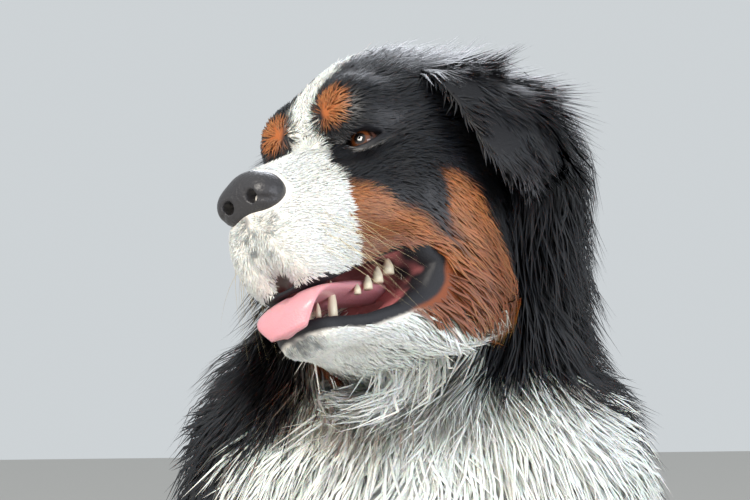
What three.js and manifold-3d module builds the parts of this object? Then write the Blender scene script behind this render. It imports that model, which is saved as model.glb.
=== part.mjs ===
// A Bernese mountain dog, life-size, sitting with its chest to the front and its head
// turned to its own right, mouth open and tongue out. Millimetres, +Z up.
// The dog's chest faces -Y and its left side is +X. It sits on small flats at Z = 0.
//
// Every part of the body is a form: a function that gives the distance of a point from
// the skin, negative inside. A part's solid is cast round a spine inside its form, and
// the long coat is set on it as flat, tapered locks that follow the lie of the hair.
import * as THREE from "three";
import { mergeVertices } from "three/addons/utils/BufferGeometryUtils.js";
import Module from "manifold-3d";

const wasm = await Module();
wasm.setup();

// Driving dimensions
const HEAD_PLACE = [-40, -50, 700]; // middle of the skull, between the eyes and the ears
const HEAD_TURN = [-46, -6.5, -22]; // degrees: turned to its right, nose up, left ear up
const EYE_RADIUS = 12;
const EYE_SPREAD = 31; // eyeball centre from the middle of the head
const PAW_SPREAD = 88; // forepaw centre from the middle of the body
const HIND_PAW_SPREAD = 142;
const GAP = 0.35; // between one part of the body and the next
const THINNEST = 0.004; // slivers thinner than this are closed up
const FLOOR_CLEARANCE = 3; // lowest that a lock may reach

// Coat: how far the core and the tips of the locks stand off the skin
const COAT = {
  torso: { core: 12, tips: 34 },
  chest: { core: 15, tips: 40 },
  neck: { core: 16, tips: 42 },
  haunch: { core: 9, tips: 28 },
  foreleg: { core: 5, tips: 34 },
  head: { core: 6, tips: 20 },
  tail: { core: 14, tips: 36 },
};

const COLOUR = {
  black: 0x14151a,
  white: 0xefece4,
  tan: 0x9a5226,
  nose: 0x24242a,
  tongue: 0xe0a2b0,
  eye: 0x3c2214,
};

const SIDES = [1, -1]; // the dog's left and right
const vector = ([x, y, z]) => new THREE.Vector3(x, y, z);
const mix = THREE.MathUtils.lerp;
const radians = THREE.MathUtils.degToRad;

// Forms

/** An ellipsoid, pitched about X and then turned about Z, in degrees. */
function ball(centre, radii, pitch = 0, turn = 0) {
  const unturned = new THREE.Quaternion()
    .setFromEuler(new THREE.Euler(radians(pitch), 0, radians(turn), "ZXY"))
    .invert();
  const middle = vector(centre);
  const q = new THREE.Vector3();
  return (p) => {
    q.copy(p).sub(middle).applyQuaternion(unturned);
    const near = Math.hypot(q.x / radii[0], q.y / radii[1], q.z / radii[2]);
    const steep = Math.hypot(q.x / radii[0] ** 2, q.y / radii[1] ** 2, q.z / radii[2] ** 2);
    return steep > 1e-9 ? (near * (near - 1)) / steep : -Math.min(...radii);
  };
}

/** A cone with round ends, from a to b. */
function limb(a, b, radiusA, radiusB) {
  const start = vector(a);
  const along = vector(b).sub(start);
  const q = new THREE.Vector3();
  return (p) => {
    q.copy(p).sub(start);
    const t = THREE.MathUtils.clamp(q.dot(along) / along.lengthSq(), 0, 1);
    return q.addScaledVector(along, -t).length() - mix(radiusA, radiusB, t);
  };
}

/** Several forms joined, with a fillet about as wide as the given size. */
const blend = (fillet, ...forms) => (p) =>
  forms.map((form) => form(p)).reduce((a, b) => {
    const h = Math.max(fillet - Math.abs(a - b), 0) / fillet;
    return Math.min(a, b) - (h * h * fillet) / 4;
  });

/** The same form on both sides, or on one: make(side) builds it, with side 1 or -1. */
const bothSides = (make) => SIDES.flatMap(make);

/** Outward direction of a form at a point. */
function outward(form, p) {
  const step = 1;
  const here = form(p);
  return new THREE.Vector3(
    form(p.clone().setX(p.x + step)) - here,
    form(p.clone().setY(p.y + step)) - here,
    form(p.clone().setZ(p.z + step)) - here,
  ).normalize();
}

/** Distance from a point inside a form, along a direction, to where it reaches a level. */
function reach(form, from, direction, level) {
  const p = new THREE.Vector3();
  const depthAt = (r) => level - form(p.copy(from).addScaledVector(direction, r));
  const smallestStep = 0.5;
  let inside = 0;
  let outside = 0;
  for (let depth = depthAt(0); depth > 0; depth = depthAt(outside)) {
    inside = outside;
    outside += Math.max(depth * 0.6, smallestStep);
  }
  for (let i = 0; i < 16; i++) {
    const between = (inside + outside) / 2;
    if (depthAt(between) > 0) inside = between;
    else outside = between;
  }
  return outside;
}

// Geometry

/** Closed geometry from rings of points, with a single point before and after them. */
function closedRings(first, rings, last) {
  const sides = rings[0].length;
  const positions = [first, ...rings.flat(), last].flatMap((p) => p.toArray());
  const index = [];
  const at = (ring, side) => 1 + ring * sides + (side % sides);
  const end = 1 + rings.length * sides;
  for (let s = 0; s < sides; s++) {
    index.push(0, at(0, s + 1), at(0, s));
    index.push(end, at(rings.length - 1, s), at(rings.length - 1, s + 1));
    for (let r = 0; r + 1 < rings.length; r++) {
      index.push(at(r, s), at(r, s + 1), at(r + 1, s));
      index.push(at(r, s + 1), at(r + 1, s + 1), at(r + 1, s));
    }
  }
  return new THREE.BufferGeometry()
    .setAttribute("position", new THREE.Float32BufferAttribute(positions, 3))
    .setIndex(index);
}

/** Two directions across a tangent, so that across x over = tangent. */
function frameOf(tangent, up) {
  const across = up.clone().cross(tangent).normalize();
  return { across, over: tangent.clone().cross(across).normalize() };
}

/** A spine inside a form, with what it takes to cast rays from it to the skin. */
function castOf(form, spinePoints, up = [0, 0, 1]) {
  const curve = new THREE.CatmullRomCurve3(spinePoints.map(vector), false, "centripetal");
  const upward = vector(up);
  /** The skin at a share of the spine and an angle round it; lean tips the ray past an end. */
  const point = (share, angle, level, lean = 0) => {
    const origin = curve.getPoint(share);
    const tangent = curve.getTangent(share);
    const { across, over } = frameOf(tangent, upward);
    const ray = across
      .multiplyScalar(Math.cos(angle) * Math.cos(lean))
      .addScaledVector(over, Math.sin(angle) * Math.cos(lean))
      .addScaledVector(tangent, Math.sin(lean));
    return origin.addScaledVector(ray, reach(form, origin, ray, level));
  };
  return { point };
}

/** The solid of a form at a level above its skin, cast round a spine. */
function cast(form, spine, { rings, sides, level = 0, ends = 3, up }) {
  const { point } = castOf(form, spine, up);
  const stations = Array.isArray(rings)
    ? rings
    : Array.from({ length: rings }, (_, i) => i / (rings - 1));
  const [startRings, endRings] = [ends].flat().length > 1 ? ends : [ends, ends];
  const leans = (count) =>
    Array.from({ length: count - 1 }, (_, i) => ((i + 1) * Math.PI) / 2 / count);
  const places = [
    ...leans(startRings).toReversed().map((lean) => [0, -lean]),
    ...stations.map((share) => [share, 0]),
    ...leans(endRings).map((lean) => [1, lean]),
  ];
  const made = places.map(([share, lean]) =>
    Array.from({ length: sides }, (_, s) => point(share, (2 * Math.PI * s) / sides, level, lean)),
  );
  const first = point(0, 0, level, -Math.PI / 2);
  const last = point(1, 0, level, Math.PI / 2);
  return closedRings(first, made, last);
}

/** A swept shape with stations { at, across, over }: half-width and half-thickness vectors. */
function sweep(stations, tip, sides = 3) {
  const rings = stations.map(({ at, across, over }) =>
    Array.from({ length: sides }, (_, s) => {
      const angle = Math.PI / 2 + (2 * Math.PI * s) / sides;
      return at
        .clone()
        .addScaledVector(across, Math.cos(angle))
        .addScaledVector(over, Math.sin(angle));
    }),
  );
  return closedRings(stations[0].at, rings, tip);
}

// Solids

/** A closed geometry as a solid that can be joined and cut. */
function solidOf(geometry, weld = 1e-4) {
  const bare = new THREE.BufferGeometry()
    .setAttribute("position", geometry.getAttribute("position"))
    .setIndex(geometry.index);
  const merged = mergeVertices(bare, weld);
  return new wasm.Manifold(
    new wasm.Mesh({
      numProp: 3,
      vertProperties: new Float32Array(merged.getAttribute("position").array),
      triVerts: new Uint32Array(merged.index.array),
    }),
  );
}

const joined = (solids) => solids.reduce((a, b) => a.add(b));

/** The largest closed surface of a solid. */
const largest = (solid) =>
  solid.decompose().reduce((a, b) => (b.volume() > a.volume() ? b : a));

/** A solid as geometry again. */
function geometryOf(solid) {
  const { vertProperties, triVerts } = solid.getMesh();
  const geometry = new THREE.BufferGeometry()
    .setAttribute("position", new THREE.BufferAttribute(vertProperties, 3))
    .setIndex(new THREE.BufferAttribute(triVerts, 1));
  geometry.computeVertexNormals();
  return geometry;
}

const boxOf = (size, centre) =>
  solidOf(new THREE.BoxGeometry(...size).translate(...centre));
const UNDER_FLOOR = boxOf([3000, 3000, 400], [0, 0, -200]);

/** Random numbers from 0 to 1 that are the same on each run. */
function seeded(seed) {
  let state = seed;
  return () => {
    state = (state * 1664525 + 1013904223) % 4294967296;
    return state / 4294967296;
  };
}

// The forms of the body, at skin level

const trunkForm = blend(
  45,
  limb([0, 88, 448], [0, 285, 200], 136, 106),
  ball([0, 325, 112], [118, 108, 118]),
  ...bothSides((side) => ball([side * 96, 64, 462], [62, 84, 118])),
  ball([0, 112, 545], [66, 84, 66]),
);
const chestForm = blend(
  35,
  ball([8, 0, 488], [108, 72, 100]),
  ball([2, 30, 392], [84, 68, 84]),
);
const neckForm = blend(
  30,
  limb([22, 32, 724], [0, 62, 566], 73, 110),
  ball([-22, -24, 640], [64, 58, 66]),
);
const foreleg = (side) =>
  blend(
    25,
    limb([side * 102, 82, 350], [side * 90, 24, 128], 47, 28),
    ball([side * 104, 104, 338], [32, 40, 44]),
    limb([side * 90, 24, 128], [side * PAW_SPREAD, -2, 58], 28, 30),
  );
const haunch = (side) =>
  blend(
    40,
    limb([side * 84, 288, 186], [side * 142, 140, 208], 84, 52),
    limb([side * 146, 136, 196], [side * 132, 288, 66], 50, 30),
    ball([side * 112, 250, 120], [56, 100, 96]),
  );
const tailPath = [
  [0, 405, 70],
  [30, 478, 46],
  [90, 530, 36],
  [170, 560, 32],
  [250, 572, 28],
  [318, 562, 26],
];
const tailRadii = [34, 30, 27, 23, 18, 12];
const tailForm = blend(
  20,
  ...tailPath
    .slice(1)
    .map((point, i) => limb(tailPath[i], point, tailRadii[i], tailRadii[i + 1])),
);

/** Four toes in front of a foot: their middle lines, from knuckle to tip. */
const TOES = [-30, -11, 11, 30].map((across) => ({
  across,
  tipBack: Math.abs(across) * 0.32,
}));
function paw(side, spread, front, turnOut) {
  const toes = TOES.map(({ across, tipBack }) => {
    const x = side * spread + across;
    return limb([x, front + 46, 30], [x + side * turnOut, front + 18 + tipBack, 18], 18, 16);
  });
  return blend(9, ball([side * spread, front + 66, 30], [38, 46, 30]), ...toes);
}
const forepaw = (side) => paw(side, PAW_SPREAD, -104, 2);
const hindFoot = (side) =>
  blend(
    16,
    paw(side, HIND_PAW_SPREAD, 58, 4),
    limb([side * 136, 296, 42], [side * HIND_PAW_SPREAD, 150, 32], 29, 27),
  );

// The head, in its own frame: X to its left, Y to the back, the nose towards -Y

const EYE = (side) => [side * EYE_SPREAD, -49, 36.5];
const EYE_GAZE = (side) => new THREE.Vector3(side * 0.42, -0.9, 0.06).normalize();

const skullForm = blend(
  18,
  ball([0, 14, 50], [70, 82, 68]),
  ball([0, 40, 10], [66, 58, 62]),
  ...bothSides((side) => [
    ball([side * 27, -50, 60], [23, 23, 24]), // brow
    ball([side * 50, -6, -2], [31, 52, 44]), // cheekbone and the muscle behind it
    ball([side * 44, 0, -48], [28, 52, 52]), // cheek behind the mouth's corner
    limb([side * 36, -48, -6], [side * 22, -100, -14], 30, 22), // below the eye
  ]),
);
const muzzleForm = blend(
  12,
  limb([0, -60, 20], [0, -138, -5], 26, 20),
  ...bothSides((side) => [
    ball([side * 18, -114, -38], [23, 44, 40], -4, side * -6), // upper lip
    limb([side * 37, -46, -40], [side * 31, -84, -46], 20, 16), // cheek over the corner
  ]),
  ball([0, -142, -30], [17, 17, 26]),
);
const jawForm = blend(
  12,
  ...bothSides((side) => limb([side * 34, -16, -84], [side * 12, -120, -102], 25, 12)),
  ball([0, -120, -103], [21, 21, 11]),
  ball([0, -46, -90], [34, 52, 24], 8),
);
const lidForm = (side) => ball(EYE(side), [15.5, 15.5, 14]);
const wholeHeadForm = blend(
  8,
  blend(14, skullForm, muzzleForm, jawForm, limb([0, -50, -62], [0, -122, -86], 30, 20)),
  ...bothSides(lidForm),
);

// The open mouth from the side, as [Y, Z]: the edge of the upper lip, then of the lower
const UPPER_LIP = [
  [-41, -64],
  [-56, -51],
  [-73, -55],
  [-96, -64],
  [-122, -74],
  [-139, -77],
  [-158, -73],
  [-190, -60],
];
const LOWER_LIP = [
  [-190, -106],
  [-144, -99],
  [-128, -99],
  [-95, -97],
  [-69, -90],
  [-48, -77],
];
const palateForm = limb([0, -72, -50], [0, -126, -62], 19, 17);
const throatCut = [-30, -170]; // where the jaw parts from the throat
const noseForm = blend(
  6,
  ball([0, -150, -6], [22, 17, 18]),
  ...bothSides((side) => ball([side * 14, -152, -9], [12, 15, 13])),
);

const headMatrix = new THREE.Matrix4().compose(
  vector(HEAD_PLACE),
  new THREE.Quaternion().setFromEuler(
    new THREE.Euler(radians(HEAD_TURN[1]), radians(HEAD_TURN[2]), radians(HEAD_TURN[0]), "ZXY"),
  ),
  new THREE.Vector3(1, 1, 1),
);
const headInverse = headMatrix.clone().invert();
/** A form of the head's frame, in the body's. */
const onHead = (form) => {
  const q = new THREE.Vector3();
  return (p) => form(q.copy(p).applyMatrix4(headInverse));
};

// All the flesh together, which the locks lie along
const bodyForm = blend(
  30,
  trunkForm,
  chestForm,
  neckForm,
  onHead(wholeHeadForm),
  ...SIDES.map(foreleg),
  ...SIDES.map(haunch),
  tailForm,
);

// The coat

/**
 * One flat, tapered lock. It starts sunk below its root, rises to the tips' height and
 * runs with the lie of the coat, and it leaves the body where the body curves away.
 */
function lock(root, lieAt, { sunk, core, tips, length, width, thick, grow, free = false }) {
  const steps = 3;
  const stiff = 0.55;
  const spread = 3 * grow; // the flat triangle's sides turn as they grow, so it grows by more,
  const edgeSpread = 11 * grow; // and most at its sharp edges
  const rise = [0, 0.55, 0.88, 1];
  const taper = [0.75, 1, 0.7];
  const stations = [];
  let at = root.clone();
  let course = lieAt(root).clone();
  for (let i = 0; i <= steps; i++) {
    const up = outward(bodyForm, at);
    const lie = lieAt(at).clone();
    lie.addScaledVector(up, -lie.dot(up)).normalize();
    course = course.multiplyScalar(stiff).addScaledVector(lie, 1 - stiff).normalize();
    if (i > 0) at = at.clone().addScaledVector(course, length / steps);
    const low = i === 0 ? core - sunk : core + (tips - core) * rise[i];
    const short = low - bodyForm(at);
    if (short > 0 || (i === 0 && !free)) at.addScaledVector(up, short);
    at.z = Math.max(at.z, FLOOR_CLEARANCE + thick);
    if (i === steps) break;
    const across = up.clone().cross(course).normalize();
    const over = course.clone().cross(across).normalize();
    stations.push({
      at: at.clone(),
      across: across.multiplyScalar((width / 2) * taper[i] + edgeSpread),
      over: over.multiplyScalar((thick / 2) * taper[i] + spread),
    });
  }
  const end = stations.at(-1).at;
  const tip = at.addScaledVector(at.clone().sub(end).normalize(), 3 * spread);
  const [first, second] = stations;
  first.at.addScaledVector(second.at.clone().sub(first.at).normalize(), -spread);
  return solidOf(sweep(stations, tip));
}

/**
 * Locks over a stretch of a part: rows along its spine, each with a number of locks
 * between two angles round it, set like bricks and varied a little.
 */
function locksOver(form, spine, coat, area, grow) {
  const random = seeded(area.seed);
  const { point } = castOf(form, spine, area.up);
  const made = [];
  area.rows.forEach((share, row) => {
    const count = Array.isArray(area.count) ? area.count[row] : area.count;
    for (let i = 0; i < count; i++) {
      const place = (i + 0.5 + (row % 2 ? 0.25 : -0.25) + 0.3 * (random() - 0.5)) / count;
      const angle = radians(mix(area.angles[0], area.angles[1], place));
      const along = THREE.MathUtils.clamp(share + 0.02 * (random() - 0.5), 0, 1);
      const root = point(along, angle, coat.core);
      const size = 0.85 + 0.3 * random();
      const swing = radians(area.swing ?? 14) * (2 * random() - 1);
      const lieAt = (p) => area.lie(p).applyAxisAngle(outward(bodyForm, root), swing);
      made.push(
        lock(root, lieAt, {
          sunk: area.sunk ?? 7,
          core: coat.core,
          tips: coat.tips * (0.9 + 0.2 * random()),
          length: area.length * size,
          width: area.width * size,
          thick: area.thick ?? 8,
          grow,
        }),
      );
    }
  });
  return made;
}

const toward = (...direction) => {
  const unit = vector(direction).normalize();
  return () => unit.clone();
};
/** Down and back over the body, and straight down on its flanks. */
const bodyLie = (p) => new THREE.Vector3(0.1 * Math.sign(p.x), 0.5, -1).normalize();
/** Down over the chest, spreading to the sides. */
const bibLie = (p) => new THREE.Vector3(p.x * 0.004, 0.05, -1).normalize();
const neckLie = (p) => new THREE.Vector3(p.x * 0.004, 0.006 * (p.y - 10), -1).normalize();
const tailLie = (p) => {
  const curve = new THREE.CatmullRomCurve3(tailPath.map(vector), false, "centripetal");
  const shares = Array.from({ length: 13 }, (_, i) => i / 12);
  const near = shares.reduce((a, b) =>
    curve.getPoint(b).distanceTo(p) < curve.getPoint(a).distanceTo(p) ? b : a,
  );
  const out = p.clone().sub(curve.getPoint(near)).setZ(0).normalize();
  return curve.getTangent(near).addScaledVector(out, 0.35).normalize();
};
/** Back over the head and down its cheeks, given in the head's frame. */
const headLie = (p) => {
  const q = p.clone().applyMatrix4(headInverse);
  return new THREE.Vector3(q.x * 0.004, 0.7, q.z > 70 ? -0.1 : -0.8)
    .transformDirection(headMatrix);
};

// Parts: a core, and the locks on it. grow widens both for the cut in a neighbour.

const trunkSpine = [
  [0, 60, 500],
  [0, 130, 420],
  [0, 215, 300],
  [0, 320, 125],
];
const torso = (grow) => [
  solidOf(cast(trunkForm, trunkSpine, { rings: 10, sides: 18, level: COAT.torso.core + grow })),
  ...locksOver(trunkForm, trunkSpine, COAT.torso, {
    seed: 13,
    rows: [0.02, 0.18, 0.36, 0.54, 0.72, 0.9],
    count: [8, 8, 8, 7, 7, 5],
    angles: [-32, 212],
    length: 128,
    width: 64,
    thick: 9,
    lie: bodyLie,
  }, grow),
];

const chestSpine = [
  [6, 14, 560],
  [6, 4, 480],
  [2, 26, 385],
];
const chest = (grow) => [
  solidOf(
    cast(chestForm, chestSpine, {
      rings: 6,
      sides: 18,
      level: COAT.chest.core + grow,
      up: [0, -1, 0],
    }),
  ),
  ...locksOver(chestForm, chestSpine, COAT.chest, {
    seed: 23,
    up: [0, -1, 0],
    rows: [0.0, 0.2, 0.4, 0.6, 0.8, 1],
    count: [5, 6, 6, 6, 5, 4],
    angles: [0, 180],
    length: 104,
    width: 54,
    thick: 9,
    lie: bibLie,
  }, grow),
];

const neckSpine = [
  [24, 32, 764],
  [0, 38, 640],
  [0, 60, 560],
];
const neck = (grow) => [
  solidOf(cast(neckForm, neckSpine, { rings: 6, sides: 16, level: COAT.neck.core + grow })),
  ...locksOver(neckForm, neckSpine, COAT.neck, {
    seed: 31,
    rows: [0, 0.3, 0.6, 0.92],
    count: [4, 7, 9, 10],
    angles: [0, 360],
    length: 104,
    width: 66,
    thick: 9,
    lie: neckLie,
  }, grow),
];

const forelegSpine = (side) => [
  [side * 102, 84, 350],
  [side * 95, 48, 215],
  [side * 90, 24, 128],
  [side * PAW_SPREAD, -2, 58],
];
const forelegPart = (side) => (grow) => [
  solidOf(
    cast(foreleg(side), forelegSpine(side), {
      rings: 7,
      sides: 12,
      level: COAT.foreleg.core + grow,
      ends: 2,
      up: [0, -1, 0],
    }),
  ),
  ...locksOver(foreleg(side), forelegSpine(side), COAT.foreleg, {
    seed: 47 + side,
    up: [0, -1, 0],
    rows: [0.1, 0.34, 0.58],
    count: 3,
    angles: [236, 304],
    length: 72,
    width: 28,
    thick: 7,
    sunk: 5,
    lie: toward(0, 0.5, -1),
  }, grow),
];

/** Claws at the ends of a foot's toes, sunk into them. */
function claws(side, spread, front, turnOut, grow) {
  return TOES.map(({ across, tipBack }) => {
    const x = side * spread + across + side * turnOut;
    const y = front + tipBack;
    const stations = [
      [y + 10, 18, 4.5],
      [y - 3, 13, 3.2],
    ].map(([back, height, radius]) => ({
      at: vector([x, back, height]),
      across: vector([-radius - grow, 0, 0]),
      over: vector([0, (radius + grow) * 0.4, -radius - grow]),
    }));
    return solidOf(sweep(stations, vector([x, y - 9, 5]), 4));
  });
}
const pawSpine = (side, spread, front) => [
  [side * spread, front + 80, 26],
  [side * spread, front + 34, 22],
];
const forepawPart = (side) => (grow) => [
  solidOf(
    cast(forepaw(side), pawSpine(side, PAW_SPREAD, -104), {
      rings: 4,
      sides: 16,
      level: 2 + grow,
      ends: 3,
    }),
  ),
  ...claws(side, PAW_SPREAD, -104, 2, grow),
];
const hindFootPart = (side) => (grow) => [
  solidOf(
    cast(hindFoot(side), [[side * 136, 292, 40], [side * 140, 200, 32], [side * HIND_PAW_SPREAD, 92, 22]], {
      rings: 7,
      sides: 14,
      level: 2 + grow,
      ends: 3,
    }),
  ),
  ...claws(side, HIND_PAW_SPREAD, 58, 4, grow),
];

const haunchSpine = (side) => [
  [side * 104, 290, 150],
  [side * 124, 205, 170],
  [side * 140, 148, 190],
];
const haunchPart = (side) => (grow) => [
  solidOf(cast(haunch(side), haunchSpine(side), { rings: 5, sides: 14, level: COAT.haunch.core + grow })),
  ...locksOver(haunch(side), haunchSpine(side), COAT.haunch, {
    seed: 53 + side,
    rows: [0.0, 0.35, 0.7, 1],
    count: [4, 3, 3, 2],
    angles: side > 0 ? [-70, 75] : [105, 250],
    length: 92,
    width: 54,
    thick: 8,
    lie: toward(0, 0.45, -1),
  }, grow),
];

const tailPart = (from, to, rows) => (grow) => {
  const path = tailPath.slice(from, to + 1);
  const form = blend(
    20,
    ...path
      .slice(1)
      .map((point, i) => limb(path[i], point, tailRadii[from + i], tailRadii[from + i + 1])),
  );
  const core = cast(form, path, {
    rings: 5,
    sides: 10,
    level: COAT.tail.core + grow,
    ends: 2,
  });
  const locks = locksOver(form, path, COAT.tail, {
    seed: 67 + from,
    rows,
    count: 5,
    angles: [-20, 200],
    length: 92,
    width: 42,
    thick: 8,
    swing: 10,
    lie: tailLie,
  }, grow);
  return [solidOf(core), ...locks];
};

// Head parts are built in the head's frame and moved to the body's for the cuts.
const toBody = (solid) => solid.transform(headMatrix.elements);

const headSpine = [
  [0, 62, 20],
  [0, 0, 0],
  [0, -62, -26],
  [0, -122, -46],
];
const headRings = [0, 0.2, 0.36, 0.46, 0.54, 0.62, 0.69, 0.76, 0.83, 0.89, 0.95, 1];
const headCore = (grow) =>
  solidOf(
    cast(wholeHeadForm, headSpine, { rings: headRings, sides: 28, level: 3 + grow, ends: [3, 5] }),
  );

/** A bar across the head with an outline given as [Y, Z] points. */
function barAcross(outline, halfWidth = 120) {
  const shape = new THREE.Shape(outline.map(([y, z]) => new THREE.Vector2(y, z)));
  const bar = new THREE.ExtrudeGeometry(shape, { depth: 2 * halfWidth, bevelEnabled: false });
  const toYZ = new THREE.Matrix4().makeBasis(
    new THREE.Vector3(0, 1, 0),
    new THREE.Vector3(0, 0, 1),
    new THREE.Vector3(1, 0, 0),
  );
  bar.deleteAttribute("normal").deleteAttribute("uv");
  return solidOf(bar.translate(0, 0, -halfWidth).applyMatrix4(toYZ));
}
const mouthCut = () => barAcross([...UPPER_LIP, ...LOWER_LIP]);
/** What lies below the open mouth and before the throat. */
const belowMouth = (grow) =>
  barAcross([
    [-41 + grow, -66 + grow],
    [throatCut[0] + grow, throatCut[1]],
    [-200, throatCut[1]],
    [-200, -84],
    [-120, -84 + grow],
    [-60, -74 + grow],
  ]);

/** The opening between the lids, as a lens-shaped bar along the gaze. */
function lidOpening(side) {
  const [halfWidth, halfHeight] = [13.5, 5.5];
  const lens = new THREE.Shape()
    .moveTo(-halfWidth, 0)
    .quadraticCurveTo(0, 2 * halfHeight, halfWidth, 0)
    .quadraticCurveTo(0, -2 * halfHeight, -halfWidth, 0);
  const bar = new THREE.ExtrudeGeometry(lens, { depth: 30, bevelEnabled: false, curveSegments: 4 });
  const toGaze = new THREE.Quaternion().setFromUnitVectors(new THREE.Vector3(0, 0, 1), EYE_GAZE(side));
  const welded = mergeVertices(bar.deleteAttribute("normal").deleteAttribute("uv"), 1e-4);
  return solidOf(welded.applyQuaternion(toGaze).translate(...EYE(side)));
}
const eyeball = (side, grow) =>
  solidOf(
    mergeVertices(
      new THREE.SphereGeometry(EYE_RADIUS + grow, 12, 8)
        .deleteAttribute("normal")
        .deleteAttribute("uv"),
      1e-3,
    ).translate(...EYE(side)),
  );

const noseSpine = [
  [0, -142, -7],
  [0, -156, -8],
];
const noseSolid = (grow) => {
  const pad = solidOf(cast(noseForm, noseSpine, { rings: 3, sides: 16, level: grow, ends: 3 }));
  if (grow) return [pad];
  const nostrils = bothSides((side) => [
    limb([side * 9, -176, -11], [side * 12, -156, -12], 4.6, 4),
    limb([side * 12, -168, -14], [side * 26, -156, -18], 2, 1.6),
  ]).map((form, i) => {
    const side = SIDES[Math.floor(i / 2)];
    const spine = i % 2
      ? [[side * 12, -168, -14], [side * 26, -156, -18]]
      : [[side * 9, -176, -11], [side * 12, -156, -12]];
    return solidOf(cast(form, spine, { rings: 2, sides: 6, ends: 2 }));
  });
  const groove = limb([0, -172, -2], [0, -160, -34], 1.4, 1.4);
  const grooveSpine = [
    [0, -172, -2],
    [0, -160, -34],
  ];
  const grooveSolid = solidOf(cast(groove, grooveSpine, { rings: 2, sides: 6, ends: 2 }));
  return [pad.subtract(joined([...nostrils, grooveSolid]))];
};

/** An ear: a thin hanging flap, bent round the head, hollow towards it. */
const EAR = (side) => ({
  front: [
    [side * 52, 4, 98],
    [side * 76, -8, 78],
    [side * 92, -12, 50],
    [side * 100, -8, 22],
    [side * 105, 4, -2],
  ],
  back: [
    [side * 48, 72, 96],
    [side * 80, 86, 80],
    [side * 100, 88, 56],
    [side * 108, 76, 28],
    [side * 111, 50, 2],
  ],
  tip: [side * 110, 26, -19],
});
function earPart(side) {
  return (grow) => {
    const { front, back, tip } = EAR(side);
    const columns = 6;
    const bulge = [4, 9, 11, 9, 5];
    const half = [7, 6, 5, 4.5, 4];
    const rings = front.map((from, row) => {
      const edge = vector(back[row]).sub(vector(from)).setLength(4 * grow);
      const a = vector(from).sub(edge);
      const b = vector(back[row]).add(edge);
      const outer = [];
      const inner = [];
      for (let c = 0; c <= columns; c++) {
        const share = c / columns;
        const arch = Math.sin(Math.PI * share);
        const thick = half[row] * (0.45 + 0.55 * arch) + 4 * grow;
        const p = a.clone().lerp(b, share);
        p.x += side * bulge[row] * arch;
        outer.push(p.clone().setX(p.x + side * thick));
        inner.push(p.clone().setX(p.x - side * thick));
      }
      const ring = [...outer, ...inner.toReversed()];
      return side > 0 ? ring.toReversed() : ring;
    });
    const top = rings[0].reduce((sum, p) => sum.add(p), new THREE.Vector3()).divideScalar(rings[0].length);
    top.z += 5 + 4 * grow;
    const end = vector(tip);
    end.z -= 4 * grow;
    const flap = toBody(solidOf(closedRings(top, rings, end)));
    const random = seeded(83 + side);
    const edgeLie = new THREE.Vector3(0, 0.35, -1).transformDirection(headMatrix);
    const locks = [0.15, 0.6].map((share) => {
      const [row, part] = [Math.floor(share * 4), (share * 4) % 1];
      const root = vector(back[row]).lerp(vector(back[row + 1]), part);
      root.lerp(vector(front[row]), 0.1).applyMatrix4(headMatrix);
      return lock(root, () => edgeLie.clone(), {
        core: COAT.head.core,
        tips: COAT.head.tips,
        length: 46 + 14 * random(),
        width: 24,
        thick: 5,
        grow,
        free: true,
      });
    });
    return [flap, ...locks];
  };
}

/** The tongue: it lies in the lower jaw and hangs over its front. */
const tonguePart = (grow) => {
  const line = new THREE.CatmullRomCurve3(
    [
      [0, -44, -66],
      [0, -76, -72],
      [2, -108, -80],
      [4, -134, -86],
      [5, -147, -93],
      [6, -150, -103],
    ].map(vector),
  );
  const halfWidth = [15, 20, 22, 23, 21, 14];
  const halfThick = [7, 7, 6, 5, 4.5, 4];
  const stations = halfWidth.map((width, i) => {
    const share = i / (halfWidth.length - 1);
    const { across, over } = frameOf(line.getTangent(share), new THREE.Vector3(0, -0.4, 1));
    return {
      at: line.getPoint(share),
      across: across.multiplyScalar(width + grow),
      over: over.multiplyScalar(halfThick[i] + grow),
    };
  });
  return [toBody(solidOf(sweep(stations, vector([6, -150, -107]), 12)))];
};

/** Teeth of the lower jaw: a cone each, sunk into the gum, larger for the canines. */
const TEETH = (side) => [
  { foot: [side * 4, -124, -92], height: 7, radius: 2.6 },
  { foot: [side * 10, -121, -91], height: 8, radius: 2.8 },
  { foot: [side * 17, -113, -88], height: 19, radius: 5 },
  { foot: [side * 24, -88, -76], height: 8, radius: 4 },
  { foot: [side * 26, -78, -71], height: 10, radius: 5 },
  { foot: [side * 28, -67, -64], height: 11, radius: 6 },
  { foot: [side * 30, -54, -57], height: 12, radius: 7 },
];
const teeth = () =>
  bothSides(TEETH).map(({ foot, height, radius }) => {
    const stations = [-0.6, 0.1, 0.6].map((rise) => ({
      at: vector(foot).add(vector([0, 0.25 * height * rise, height * rise])),
      across: vector([0, radius * (0.9 - 0.45 * Math.max(rise, 0)), 0]),
      over: vector([-0.75 * radius * (0.9 - 0.45 * Math.max(rise, 0)), 0, 0]),
    }));
    return solidOf(sweep(stations, vector(foot).add(vector([0, 0.25 * height, height])), 6));
  });

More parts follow.
